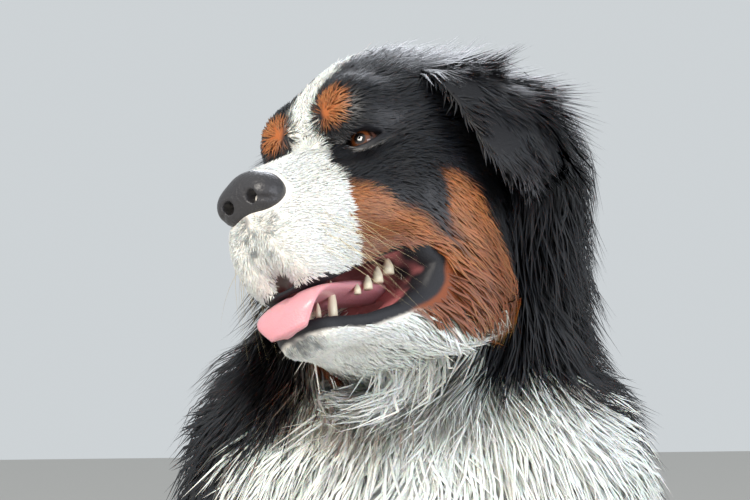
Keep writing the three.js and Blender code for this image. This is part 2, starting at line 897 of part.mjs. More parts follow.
const cheekSpine = [
  [0, 40, 10],
  [0, -20, -10],
].map((p) => vector(p).applyMatrix4(headMatrix).toArray());
const headPart = (grow) => {
  const core = headCore(grow);
  const palate = solidOf(cast(palateForm, [[0, -72, -50], [0, -126, -62]], {
    rings: 3,
    sides: 12,
    ends: 2,
  }));
  const openings = [mouthCut(), palate, ...SIDES.map(lidOpening), ...noseSolid(GAP)];
  const skull = grow ? core : core.subtract(joined([...openings, belowMouth(GAP)]));
  const areas = [
    { seed: 72, angles: [-38, 12], rows: [0.15, 0.75] },
    { seed: 70, angles: [168, 218], rows: [0.15, 0.75] },
    { seed: 74, angles: [50, 130], rows: [0, 0.4] },
  ];
  const locks = areas.flatMap((area) =>
    locksOver(onHead(wholeHeadForm), cheekSpine, COAT.head, {
      ...area,
      count: 3,
      length: 56,
      width: 30,
      thick: 6,
      sunk: 5,
      lie: headLie,
    }, grow),
  );
  return [toBody(skull), ...locks];
};
const jawPart = (grow) => {
  const jaw = headCore(grow).intersect(belowMouth(grow));
  return [toBody(grow ? jaw : jaw.subtract(mouthCut()).add(joined(teeth())))];
};

// Assembly: each part is cut back from those before it by their widened copies.
const BODY_PARTS = [
  ["torso", torso, "black"],
  ["chest", chest, "white"],
];
const HEAD_PARTS = [
  ["eye_left", (grow) => [toBody(eyeball(1, grow))], "eye"],
  ["eye_right", (grow) => [toBody(eyeball(-1, grow))], "eye"],
  ["nose", (grow) => noseSolid(grow).map(toBody), "nose"],
  ["tongue", tonguePart, "tongue"],
  ["jaw", jawPart, "white"],
  ["head", headPart, "black"],
  ["ear_left", earPart(1), "black"],
  ["ear_right", earPart(-1), "black"],
];
const LIMB_PARTS = [
  ["neck", neck, "black"],
  ["foreleg_left", forelegPart(1), "tan"],
  ["foreleg_right", forelegPart(-1), "tan"],
  ["forepaw_left", forepawPart(1), "white"],
  ["forepaw_right", forepawPart(-1), "white"],
  ["hindpaw_left", hindFootPart(1), "white"],
  ["hindpaw_right", hindFootPart(-1), "white"],
  ["haunch_left", haunchPart(1), "black"],
  ["haunch_right", haunchPart(-1), "black"],
  ["tail_base", tailPart(0, 3, [0.45, 0.75]), "black"],
  ["tail_plume", tailPart(3, 5, [0.2, 0.9]), "black"],
];

const dog = new THREE.Group();
const head = new THREE.Group();
head.matrix.copy(headMatrix).decompose(head.position, head.quaternion, head.scale);
dog.add(head);

const before = [];
for (const [name, make, colour] of [...BODY_PARTS, ...HEAD_PARTS, ...LIMB_PARTS]) {
  const whole = joined(make(0));
  const cut = before.length ? whole.subtract(joined(before)) : whole;
  const trimmed = largest(cut.subtract(UNDER_FLOOR));
  const solid = largest(solidOf(geometryOf(trimmed), THINNEST));
  before.push(joined(make(GAP)));
  const material = new THREE.MeshStandardMaterial({
    color: COLOUR[colour],
    roughness: colour === "eye" || colour === "tongue" ? 0.2 : 0.75,
    metalness: 0,
  });
  const onTheHead = HEAD_PARTS.some(([part]) => part === name);
  const geometry = geometryOf(solid);
  if (onTheHead) geometry.applyMatrix4(headInverse);
  const mesh = new THREE.Mesh(geometry, material);
  mesh.name = name;
  (onTheHead ? head : dog).add(mesh);
}

// The origin is on the floor, under the middle of the dog's box.
dog.updateMatrixWorld(true);
const middle = new THREE.Box3().setFromObject(dog, true).getCenter(new THREE.Vector3());
dog.position.set(-middle.x, -middle.y, 0);

export default dog;
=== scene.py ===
"""Look of a seated bernese mountain dog: skin, coat, face and stage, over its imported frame."""

import logging
import math
from dataclasses import dataclass
from enum import Enum
from functools import reduce
from typing import Callable, Sequence

import bpy
import numpy as np
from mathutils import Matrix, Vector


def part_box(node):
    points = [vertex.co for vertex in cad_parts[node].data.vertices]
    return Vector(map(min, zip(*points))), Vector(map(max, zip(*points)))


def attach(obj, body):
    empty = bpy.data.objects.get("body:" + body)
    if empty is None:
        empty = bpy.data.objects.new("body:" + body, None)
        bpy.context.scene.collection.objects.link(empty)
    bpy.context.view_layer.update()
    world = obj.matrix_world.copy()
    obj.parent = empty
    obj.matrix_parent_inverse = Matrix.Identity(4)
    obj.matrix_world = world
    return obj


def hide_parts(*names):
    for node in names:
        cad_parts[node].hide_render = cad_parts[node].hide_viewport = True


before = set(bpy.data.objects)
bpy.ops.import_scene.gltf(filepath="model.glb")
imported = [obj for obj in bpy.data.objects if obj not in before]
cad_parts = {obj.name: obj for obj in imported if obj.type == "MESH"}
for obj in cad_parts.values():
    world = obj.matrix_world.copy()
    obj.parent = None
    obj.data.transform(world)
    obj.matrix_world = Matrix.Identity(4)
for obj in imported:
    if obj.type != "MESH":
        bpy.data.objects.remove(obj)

import openvdb
from mathutils import Vector

LOG = logging.getLogger("dog")
Form = Callable[[np.ndarray], np.ndarray]
Place = Sequence[float]

# Sizes in millimetres, in the dog's own frame: chest towards -Y, its left side +X
HEAD_PLACE = (-40.0, -50.0, 700.0)
HEAD_TURN, HEAD_PITCH, HEAD_ROLL = -46.0, -6.5, -22.0
EYE_RADIUS, CORNEA_RISE, CORNEA_ANGLE = 12.0, 1.1, 0.62
PAW_SPREAD, HIND_PAW_SPREAD = 88.0, 142.0
TIP_WHITE_FROM = 262.0
SIDES = (1, -1)
TOES = (-30, -11, 11, 30)  # places across a foot
# Cells of the grids that the forms are meshed on, finer where the eye rests
BODY_CELL, HIND_FOOT_CELL, FOREPAW_CELL, HEAD_CELL, NOSE_CELL = 5.0, 3.0, 2.5, 1.7, 0.9
SKIN_LOWEST, TUFT_LOWEST = 1.5, 0.4  # heights over the floor
ROOT_DEPTH = 1.2  # how far a tuft is sunk in the skin
SKIN_PAINTED_SHADE = 0.85  # painted shade: the body's skin is darkened by this share, for the shade under the hair over it
PATCH = 0.003  # width of a tuft's patch on the baked map
# Outlines on the side of the head, as (y, z) in the head's frame
UPPER_LIP = [(-41, -64), (-56, -51), (-73, -55), (-96, -64), (-122, -74), (-139, -77)]
UPPER_LIP += [(-158, -73), (-190, -60)]
LOWER_LIP = [(-190, -106), (-144, -99), (-128, -99), (-95, -97), (-69, -90), (-48, -77)]
TAN_CHEEK = [(-110, -4), (-82, -14), (-58, -28), (-44, -40), (-30, -50), (-36, -22), (-38, 2)]
TAN_CHEEK += [(-27, 5), (-4, -12), (20, -36), (36, -58), (38, -84), (0, -100), (-29, -102)]
TAN_CHEEK += [(-56, -96), (-100, -80), (-130, -70)]


def linear(code: str) -> np.ndarray:
    """An sRGB hex colour as linear values.

    Args:
        code: Colour such as "#a0602c".
    Returns:
        Three linear values.
    """
    part = np.array([int(code[i : i + 2], 16) for i in (1, 3, 5)]) / 255
    return np.where(part <= 0.04045, part / 12.92, ((part + 0.055) / 1.055) ** 2.4)


class Tone(Enum):
    """Colours of the animal, as sRGB."""

    BLACK = "#0d0e13"
    SLATE = "#1b1c21"
    WHITE = "#f7f1e6"
    TAN = "#a35a2b"
    RUST = "#7a3d1b"
    LEATHER = "#2c2b2e"
    PINK = "#b56b6c"
    TONGUE = "#cf9098"
    PEPPER = "#8d8a88"

    @property
    def rgb(self) -> np.ndarray:
        """The linear colour."""
        return linear(self.value)


# Forms: signed distances, in numpy


def rotation(pitch: float, roll: float, turn: float) -> np.ndarray:
    """Matrix that rolls about Y, pitches about X and turns about Z, in degrees.

    Args:
        pitch: Angle about X.
        roll: Angle about Y.
        turn: Angle about Z.
    Returns:
        A 3 by 3 matrix.
    """
    a, b, c = map(math.radians, (pitch, roll, turn))
    rx = np.array([[1, 0, 0], [0, math.cos(a), -math.sin(a)], [0, math.sin(a), math.cos(a)]])
    ry = np.array([[math.cos(b), 0, math.sin(b)], [0, 1, 0], [-math.sin(b), 0, math.cos(b)]])
    rz = np.array([[math.cos(c), -math.sin(c), 0], [math.sin(c), math.cos(c), 0], [0, 0, 1]])
    return (rz @ rx @ ry).astype(np.float32)


HEAD = rotation(HEAD_PITCH, HEAD_ROLL, HEAD_TURN)
HEAD_AT = np.array(HEAD_PLACE, np.float32)


def to_head(p: np.ndarray) -> np.ndarray:
    """Points of the dog's frame in the head's frame."""
    return (p - HEAD_AT) @ HEAD


def from_head(q: np.ndarray) -> np.ndarray:
    """Points of the head's frame in the dog's frame."""
    return np.asarray(q, np.float32) @ HEAD.T + HEAD_AT


def length_of(v: np.ndarray) -> np.ndarray:
    """Lengths of row vectors."""
    return np.sqrt(np.einsum("ij,ij->i", v, v))


def unit(v: np.ndarray) -> np.ndarray:
    """Row vectors at length one."""
    return v / np.maximum(length_of(v), 1e-9)[:, None]


def ball(centre: Place, radii: Place, pitch: float = 0.0, turn: float = 0.0) -> Form:
    """An ellipsoid.

    Args:
        centre: Its middle.
        radii: Half its width, depth and height.
        pitch: Angle about X, in degrees.
        turn: Angle about Z, in degrees.
    Returns:
        Its form.
    """
    at, r = np.array(centre, np.float32), np.array(radii, np.float32)
    turned = rotation(pitch, 0, turn)

    def distance(p: np.ndarray) -> np.ndarray:
        """Distances of points."""
        q = (p - at) @ turned
        near = length_of(q / r)
        return near * (near - 1) / np.maximum(length_of(q / r**2), 1e-9)

    return distance


def limb(a: Place, b: Place, radius_a: float, radius_b: float) -> Form:
    """A cone with round ends.

    Args:
        a: Middle of its start.
        b: Middle of its end.
        radius_a: Radius at the start.
        radius_b: Radius at the end.
    Returns:
        Its form.
    """
    start = np.array(a, np.float32)
    along = np.array(b, np.float32) - start
    reach = float(along @ along)

    def distance(p: np.ndarray) -> np.ndarray:
        """Distances of points."""
        q = p - start
        t = np.clip(q @ along / reach, 0, 1)
        return length_of(q - t[:, None] * along) - (radius_a + (radius_b - radius_a) * t)

    return distance


def blend(fillet: float, *forms: Form) -> Form:
    """Forms joined with a fillet.

    Args:
        fillet: About the fillet's width.
        forms: What is joined.
    Returns:
        One form.
    """

    def pair(a: np.ndarray, b: np.ndarray) -> np.ndarray:
        """Distances to two forms as one."""
        h = np.maximum(fillet - np.abs(a - b), 0) / fillet
        return np.minimum(a, b) - h * h * fillet / 4

    return lambda p: reduce(pair, (form(p) for form in forms))


def nearest(*forms: Form) -> Form:
    """Forms together, with no fillet."""
    return lambda p: np.min([form(p) for form in forms], 0)


def both(make: Callable[[int], list]) -> list:
    """The forms of both sides."""
    return [form for side in SIDES for form in make(side)]


def polygon_distance(p: np.ndarray, outline: Sequence[Place]) -> np.ndarray:
    """Signed distance to a polygon, negative inside.

    Args:
        p: Points in the plane.
        outline: Corners in order.
    Returns:
        One distance a point.
    """
    corner = np.array(outline, np.float32)
    best = np.full(len(p), 1e9, np.float32)
    inside = np.zeros(len(p), bool)
    for a, b in zip(corner, np.roll(corner, -1, 0)):
        edge, q = b - a, p - a
        t = np.clip(q @ edge / (edge @ edge), 0, 1)
        best = np.minimum(best, length_of(q - t[:, None] * edge))
        crosses = (a[1] > p[:, 1]) != (b[1] > p[:, 1])
        slope = edge[0] / (edge[1] if edge[1] else 1e-9)
        inside ^= crosses & (p[:, 0] < a[0] + (p[:, 1] - a[1]) * slope)
    return np.where(inside, -best, best)


def outward(form: Form, p: np.ndarray) -> np.ndarray:
    """Outward unit directions of a form at points."""
    here = form(p)
    return unit(np.stack([form(p + step) - here for step in np.eye(3, dtype=np.float32)], 1))


def eye_centre(side: int) -> np.ndarray:
    """Middle of an eyeball, in the head's frame."""
    return np.array([side * 31, -49, 36.5], np.float32)


def eye_axes(side: int) -> tuple[np.ndarray, np.ndarray, np.ndarray]:
    """Directions of an eye, in the head's frame.

    Args:
        side: 1 for the left eye, -1 for the right.
    Returns:
        Outward, upward and gaze directions.
    """
    gaze = np.array([side * 0.42, -0.9, 0.06])
    gaze /= np.linalg.norm(gaze)
    out = np.cross(gaze, [0, 0, 1]) * -side
    out = out / np.linalg.norm(out) * np.sign(out[0] * side)
    out = out + np.array([0, 0, 0.1])
    out -= gaze * (out @ gaze)
    out /= np.linalg.norm(out)
    up = np.cross(gaze, out) * -side
    return out, up * np.sign(up[2]), gaze


def lid_distance(q: np.ndarray, side: int) -> np.ndarray:
    """Distance to the opening between the lids, negative inside it.

    Args:
        q: Points of the head's frame.
        side: 1 for the left eye, -1 for the right.
    Returns:
        One distance a point.
    """
    out, up, gaze = eye_axes(side)
    v = q - eye_centre(side)
    u, w, depth = v @ out, v @ up, v @ gaze
    half = np.where(w > 0, 5.6, 4.8)
    return np.maximum(0.85 * (np.abs(w) - half * (1 - (u / 15.0) ** 2)), 3 - depth)


def lids_distance(q: np.ndarray) -> np.ndarray:
    """Distance to the nearer of both openings between lids."""
    return np.min([lid_distance(q, side) for side in SIDES], 0)


def paw(side: int, spread: float, front: float, turn_out: float) -> list[Form]:
    """A foot with four toes.

    Args:
        side: 1 for the left, -1 for the right.
        spread: The foot's distance from the middle.
        front: Place of its longest claws along Y.
        turn_out: How far the toes point outwards.
    Returns:
        The forms of instep and toes.
    """
    x = side * spread
    toes = [
        limb((x + a, front + 46, 30), (x + a + side * turn_out, front + 18 + abs(a) * 0.32, 18), 18, 16)
        for a in TOES
    ]
    return [ball((x, front + 66, 30), (38, 46, 30)), *toes]


TAIL = [(0, 405, 70), (30, 478, 46), (90, 530, 36), (170, 560, 32), (250, 572, 28), (318, 562, 26)]
TAIL_RADII = (34, 30, 27, 23, 18, 12)
TRUNK = blend(
    45,
    limb((0, 88, 448), (0, 285, 200), 136, 106),
    ball((0, 325, 112), (118, 108, 118)),
    *both(lambda s: [ball((s * 96, 64, 462), (62, 84, 118))]),
    ball((0, 112, 545), (66, 84, 66)),
)
CHEST = blend(35, ball((8, 0, 488), (108, 72, 100)), ball((2, 30, 392), (84, 68, 84)))
NECK = blend(30, limb((22, 32, 724), (0, 62, 566), 73, 110), ball((-22, -24, 640), (64, 58, 66)))
FORELEGS = [
    blend(
        25,
        limb((s * 102, 82, 350), (s * 90, 24, 128), 47, 28),
        ball((s * 104, 104, 338), (32, 40, 44)),
        limb((s * 90, 24, 128), (s * PAW_SPREAD, -2, 58), 28, 30),
    )
    for s in SIDES
]
HAUNCHES = [
    blend(
        40,
        limb((s * 84, 288, 186), (s * 142, 140, 208), 84, 52),
        limb((s * 146, 136, 196), (s * 132, 288, 66), 50, 30),
        ball((s * 112, 250, 120), (56, 100, 96)),
    )
    for s in SIDES
]
TAIL_FORM = blend(20, *map(limb, TAIL, TAIL[1:], TAIL_RADII, TAIL_RADII[1:]))
FOREPAWS = [blend(9, *paw(s, PAW_SPREAD, -104, 2)) for s in SIDES]
HIND_FEET = [
    blend(
        16,
        blend(9, *paw(s, HIND_PAW_SPREAD, 58, 4)),
        limb((s * 136, 296, 42), (s * HIND_PAW_SPREAD, 150, 32), 29, 27),
    )
    for s in SIDES
]
FEET = (*FOREPAWS, *HIND_FEET)
SKULL = blend(
    18,
    ball((0, 14, 50), (70, 82, 68)),
    ball((0, 40, 10), (66, 58, 62)),
    *both(
        lambda s: [
            ball((s * 27, -50, 60), (23, 23, 24)),
            ball((s * 50, -6, -2), (31, 52, 44)),
            ball((s * 44, 0, -48), (28, 52, 52)),
            limb((s * 36, -48, -6), (s * 22, -100, -14), 30, 22),
        ]
    ),
)
MUZZLE = blend(
    12,
    limb((0, -60, 20), (0, -138, -5), 26, 20),
    *both(
        lambda s: [
            ball((s * 18, -114, -38), (23, 44, 40), -4, s * -6),
            limb((s * 37, -46, -40), (s * 31, -84, -46), 20, 16),
        ]
    ),
    ball((0, -142, -30), (17, 17, 26)),
)
JAW = blend(
    12,
    *both(lambda s: [limb((s * 34, -16, -84), (s * 12, -120, -102), 25, 12)]),
    ball((0, -120, -103), (21, 21, 11)),
    ball((0, -46, -90), (34, 52, 24), 8),
)
WHOLE_HEAD = blend(
    8,
    blend(14, SKULL, MUZZLE, JAW, limb((0, -50, -62), (0, -122, -86), 30, 20)),
    *both(lambda s: [ball(eye_centre(s), (15.5, 15.5, 14))]),
)
NOSE = blend(
    6, ball((0, -150, -6), (22, 17, 18)), *both(lambda s: [ball((s * 14, -152, -9), (12, 15, 13))])
)
BODY = blend(30, TRUNK, CHEST, NECK, *FORELEGS, *HAUNCHES, TAIL_FORM)
FLESH = blend(30, BODY, lambda p: WHOLE_HEAD(to_head(p)))


def mouth_distance(q: np.ndarray) -> np.ndarray:
    """Distance to the open mouth, negative inside it, for points of the head's frame."""
    return polygon_distance(q[:, 1:], UPPER_LIP + LOWER_LIP)


def head_skin(q: np.ndarray) -> np.ndarray:
    """The head with its mouth and lids open.

    Args:
        q: Points of the head's frame.
    Returns:
        One distance a point.
    """
    palate = limb((0, -72, -50), (0, -126, -60), 20, 17)(q)
    trough = limb((0, -58, -84), (0, -112, -95), 17, 10)(q)
    opening = np.min([mouth_distance(q), palate, trough, lids_distance(q)], 0)
    head = WHOLE_HEAD(q)
    h = np.maximum(4 - np.abs(head + opening), 0) / 4
    return np.maximum(head, -opening) + h * h


def nose_leather(q: np.ndarray) -> np.ndarray:
    """The nose pad with its nostrils and groove.

    Args:
        q: Points of the head's frame.
    Returns:
        One distance a point.
    """
    holes = [limb((0, -172, -2), (0, -163, -34), 1.3, 1.3)]
    for side in SIDES:
        holes.append(limb((side * 9, -178, -11), (side * 12, -156, -12), 4.8, 4))
        holes.append(limb((side * 12, -170, -14), (side * 26, -156, -18), 2.1, 1.6))
    hole = nearest(*holes)(q)
    pad = NOSE(q)
    h = np.maximum(2 - np.abs(pad + hole), 0) / 2
    return np.maximum(pad, -hole) + h * h * 0.5


def on_floor(form: Form) -> Form:
    """A form cut off just above the floor."""
    return lambda p: np.maximum(form(p), SKIN_LOWEST - p[:, 2])


@dataclass
class Surface:
    """Triangles of a closed surface."""

    points: np.ndarray
    faces: np.ndarray

    def joined(self, other: "Surface") -> "Surface":
        """Both surfaces as one."""
        faces = np.vstack([self.faces, other.faces + len(self.points)])
        return Surface(np.vstack([self.points, other.points]), faces)

    def normals(self) -> np.ndarray:
        """Unit normals of the points.

        Returns:
            One direction a point.
        """
        a, b, c = (self.points[self.faces[:, i]] for i in range(3))
        face = np.cross(b - a, c - a)
        total = np.zeros_like(self.points)
        for i in range(3):
            np.add.at(total, self.faces[:, i], face)
        return unit(total)

    def facing_out(self) -> "Surface":
        """This closed surface with its triangles turned outwards.

        Returns:
            The surface, turned round where its volume came out negative.
        """
        a, b, c = (self.points[self.faces[:, i]].astype(float) for i in range(3))
        volume = np.einsum("ij,ij->i", a - a[0], np.cross(b - a[0], c - a[0])).sum()
        return Surface(self.points, self.faces[:, ::-1]) if volume < 0 else self

    def from_head(self) -> "Surface":
        """A surface of the head's frame in the dog's frame."""
        return Surface(from_head(self.points), self.faces)


def surface_of(form: Form, low: Place, high: Place, cell: float) -> Surface:
    """Meshes a form in a box.

    Args:
        form: Signed distance.
        low: Lowest corner.
        high: Highest corner.
        cell: Grid size.
    Returns:
        The surface, facing outwards.
    """
    axes = [np.arange(a, b + cell, cell, dtype=np.float32) for a, b in zip(low, high)]
    values = np.empty([len(axis) for axis in axes], np.float32)
    yz = np.stack(np.meshgrid(axes[1], axes[2], indexing="ij"), -1).reshape(-1, 2)
    for i, x in enumerate(axes[0]):
        p = np.empty((len(yz), 3), np.float32)
        p[:, 0] = x
        p[:, 1:] = yz
        values[i] = form(p).reshape(values.shape[1:])
    grid = openvdb.FloatGrid(3 * cell)
    grid.copyFromArray(np.clip(values, -3 * cell, 3 * cell))
    points, quads = grid.convertToQuads()
    points = points.astype(np.float32) * cell + np.array([axis[0] for axis in axes], np.float32)
    faces = np.vstack([quads[:, [0, 1, 2]], quads[:, [0, 2, 3]]]).astype(np.int64)
    return Surface(points, faces).facing_out()


def ring_faces(rows: int, around: int, capped: bool = True) -> np.ndarray:
    """Triangles between rings of points.

    Args:
        rows: Number of rings.
        around: Points of a ring.
        capped: Whether each end closes on a point; both come after the rings.
    Returns:
        The triangles.
    """
    faces = []
    for k in range(rows - 1):
        for i in range(around):
            a, b = k * around + i, k * around + (i + 1) % around
            faces += [(a, b, a + around), (b, b + around, a + around)]
    if capped:
        start, last = rows * around, (rows - 1) * around
        for i in range(around):
            j = (i + 1) % around
            faces += [(start, j, i), (start + 1, last + i, last + j)]
    return np.array(faces)


def noise(p: np.ndarray, size: float, seed: int) -> np.ndarray:
    """Smooth noise between -1 and 1.

    Args:
        p: Points.
        size: Width of its features, in millimetres.
        seed: Fixed seed.
    Returns:
        One value a point.
    """
    table = np.random.default_rng(seed).uniform(-1, 1, (32, 32, 32)).astype(np.float32)
    q = p / size + 700
    cell = np.floor(q).astype(np.int64)
    t = q - cell
    t = t * t * (3 - 2 * t)
    total = np.zeros(len(p), np.float32)
    for corner in range(8):
        bit = np.array([corner >> 2 & 1, corner >> 1 & 1, corner & 1])
        weight = np.prod(np.where(bit, t, 1 - t), 1)
        x, y, z = ((cell + bit) % 32).T
        total += weight * table[x, y, z]
    return total


def smooth(value: np.ndarray, low: float, high: float) -> np.ndarray:
    """Zero below low, one above high and smooth between."""
    t = np.clip((value - low) / (high - low), 0, 1)
    return t * t * (3 - 2 * t)


def lip_width(q: np.ndarray) -> np.ndarray:
    """Width of the bare black lip round the mouth, widest on the lower lip and at the corner."""
    return 4.5 + 5 * smooth(-q[:, 2], 66, 80) + 3 * smooth(q[:, 1], -62, -44)


class Markings:
    """The coat's colours, by place. Skin and tufts both take them."""

    edge = 3.0

    def mix(
        self, colour: np.ndarray, tone: Tone, inside: np.ndarray, edge: float | None = None
    ) -> np.ndarray:
        """Lays a tone over a colour where inside is above zero."""
        share = smooth(inside, -(edge or self.edge), edge or self.edge)[:, None]
        return colour * (1 - share) + tone.rgb * share

    def head(self, p: np.ndarray) -> np.ndarray:
        """Colours on the head, for points of the dog's frame.

        Args:
            p: Points.
        Returns:
            One linear colour a point.
        """
        q = to_head(p)
        x, y, z = q.T
        wide = np.abs(x)
        ragged = 3.2 * noise(p, 9, 3) + 3 * noise(p, 28, 4)
        colour = np.tile(Tone.BLACK.rgb, (len(p), 1))
        cheek = np.where(wide > 24, -polygon_distance(q[:, 1:], TAN_CHEEK), -20)
        colour = self.mix(colour, Tone.TAN, cheek + ragged, 6)
        colour = self.mix(colour, Tone.RUST, cheek + 2 * ragged - 6 + 0.35 * (-62 - z), 14)
        brow = length_of((np.stack([wide, y, z], 1) - (27, -68, 64)) / (8.8, 12.5, 10))
        colour = self.mix(colour, Tone.TAN, (1 - brow) * 11 + 0.4 * ragged)
        half = np.interp(y, [-120, -104, -90, -76, -62, -44, -8, 8], [90, 42, 20, 13, 12, 11, 5, -6])
        blaze = np.where((z > -10) | (y < -100), half - np.abs(x + 1), -30)
        height = [-125, -100, -88, -72, -57, -32, -9, 22, 40]
        back = np.interp(z, height, [-40, -55, -96, -122, -125, -117, -106, -93, -84])
        muzzle = np.where(z > -125, back - y, -30)
        throat = np.minimum(-97 - z, 64 - wide)
        white = np.maximum(np.maximum(blaze, muzzle), throat)
        colour = self.mix(colour, Tone.WHITE, white + 0.6 * ragged)
        front = 16 - length_of((q - (0, -150, -34)) / (1.6, 1.2, 1.7))
        chin = 15 - length_of((q - (0, -134, -106)) / (1.4, 1.2, 1))
        pepper = np.maximum(front, chin) + 7 * noise(p, 4, 5)
        return self.mix(colour, Tone.PEPPER, pepper - 6, 5)

    def body(self, p: np.ndarray) -> np.ndarray:
        """Colours on the body, for points of the dog's frame.

        Args:
            p: Points.
        Returns:
            One linear colour a point.
        """
        x, y, z = p.T
        wide = np.abs(x)
        ragged = 6 * noise(p, 16, 6) + 8 * noise(p, 60, 7)
        colour = np.tile(Tone.BLACK.rgb, (len(p), 1))
        half = np.interp(z, [200, 280, 360, 440, 500, 560, 600, 640], [0, 26, 70, 105, 123, 119, 90, 60])
        middle = np.interp(z, [360, 440, 500, 560, 600, 640], [4, 15, 20, 9, -5, -19])
        face = np.interp(z, [300, 480, 560, 620, 700], [40, 22, 6, -6, -16])
        bib = np.minimum(half - np.abs(x - middle), (face - y) * 1.4)
        top = 652 + 75 * smooth(-x, -50, 0) * smooth(-y, 20, 60)
        bib = np.where(z > 215, np.minimum(bib, top - z), -60)
        side_patch = 24 * (1 - length_of((p - (-116, -34, 618)) / (26, 44, 34)))
        colour = self.mix(colour, Tone.TAN, side_patch + 0.5 * ragged, 8)
        leg = (wide > 30) & (z < 330) & (y < 140)
        front_tan = np.where(leg, np.minimum(250 - z, 60 - y + 0.1 * z), -60)
        inner = np.where((z < 150) & (y > 60), 110 - z - 0.3 * np.abs(y - 180), -60)
        colour = self.mix(colour, Tone.TAN, np.maximum(front_tan, inner) + ragged, 10)
        paws = np.where(y < 40, 98 - z, np.where((y < 175) & (wide > 60), 62 - z + 0.2 * (120 - y), -60))
        tip = np.where(z < 90, x - TIP_WHITE_FROM, -60)
        white = np.maximum(np.maximum(bib, paws), tip)
        return self.mix(colour, Tone.WHITE, white + ragged, 5)

    def bare(self, p: np.ndarray, colour: np.ndarray) -> np.ndarray:
        """Lips, lid rims and the inside of the mouth, laid over the skin of the head.

        Args:
            p: Points of the dog's frame.
            colour: Their colours in the coat's markings.
        Returns:
            One linear colour a point.
        """
        q = to_head(p)
        mouth = mouth_distance(q)
        deep = WHOLE_HEAD(q)
        lids = lids_distance(q)
        colour = self.mix(colour, Tone.SLATE, lip_width(q) - mouth, 1.5)
        inside = np.minimum(-7 - deep, 9 - np.abs(mouth)) + 2 * noise(p, 6, 8)
        colour = self.mix(colour, Tone.PINK, np.where(q[:, 2] < -30, inside, -30), 3)
        return self.mix(colour, Tone.SLATE, 4.2 - lids, 1)


MARKINGS = Markings()


def blade(stations: int) -> tuple[np.ndarray, np.ndarray, np.ndarray]:
    """A unit tuft: its vertices' station, side and rise, its faces and its patch on the map.

    Args:
        stations: Rings of three before the tip.
    Returns:
        Vertex rows (station, across, over), triangles and patch corners.
    """
    corner = [(-1.0, 0.0), (1.0, 0.0), (0.0, 1.0)]
    rows = [(k, *c) for k in range(stations) for c in corner] + [(stations, 0.0, 0.0)]
    faces = [(0, 1, 2)]
    for k in range(stations - 1):
        for i in range(3):
            a, b = 3 * k + i, 3 * k + (i + 1) % 3
            faces += [(a, a + 3, b), (b, a + 3, b + 3)]
    last = 3 * (stations - 1)
    faces += [(last + i, 3 * stations, last + (i + 1) % 3) for i in range(3)]
    vertex = np.array(rows, np.float32)
    patch = np.stack([0.5 + 0.5 * vertex[:, 1], vertex[:, 0] / stations], 1)
    return vertex, np.array(faces), patch


@dataclass
class Tufts:
    """Roots of a kind of tuft, with the sizes of each."""

    root: np.ndarray
    normal: np.ndarray
    length: np.ndarray
    width: np.ndarray
    height: np.ndarray
    colour: np.ndarray

    def part(self, keep: np.ndarray) -> "Tufts":
        """The chosen tufts."""
        return Tufts(*(getattr(self, name)[keep] for name in self.__dataclass_fields__))


@dataclass(frozen=True)
class Comb:
    """How tufts are laid: their bend, spread and seed."""

    seed: int
    stations: int = 3
    swing: float = 0.16
    clump: float = 0.35
    clump_size: float = 26.0
    wave: float = 0.05
    hug: float = 0.5


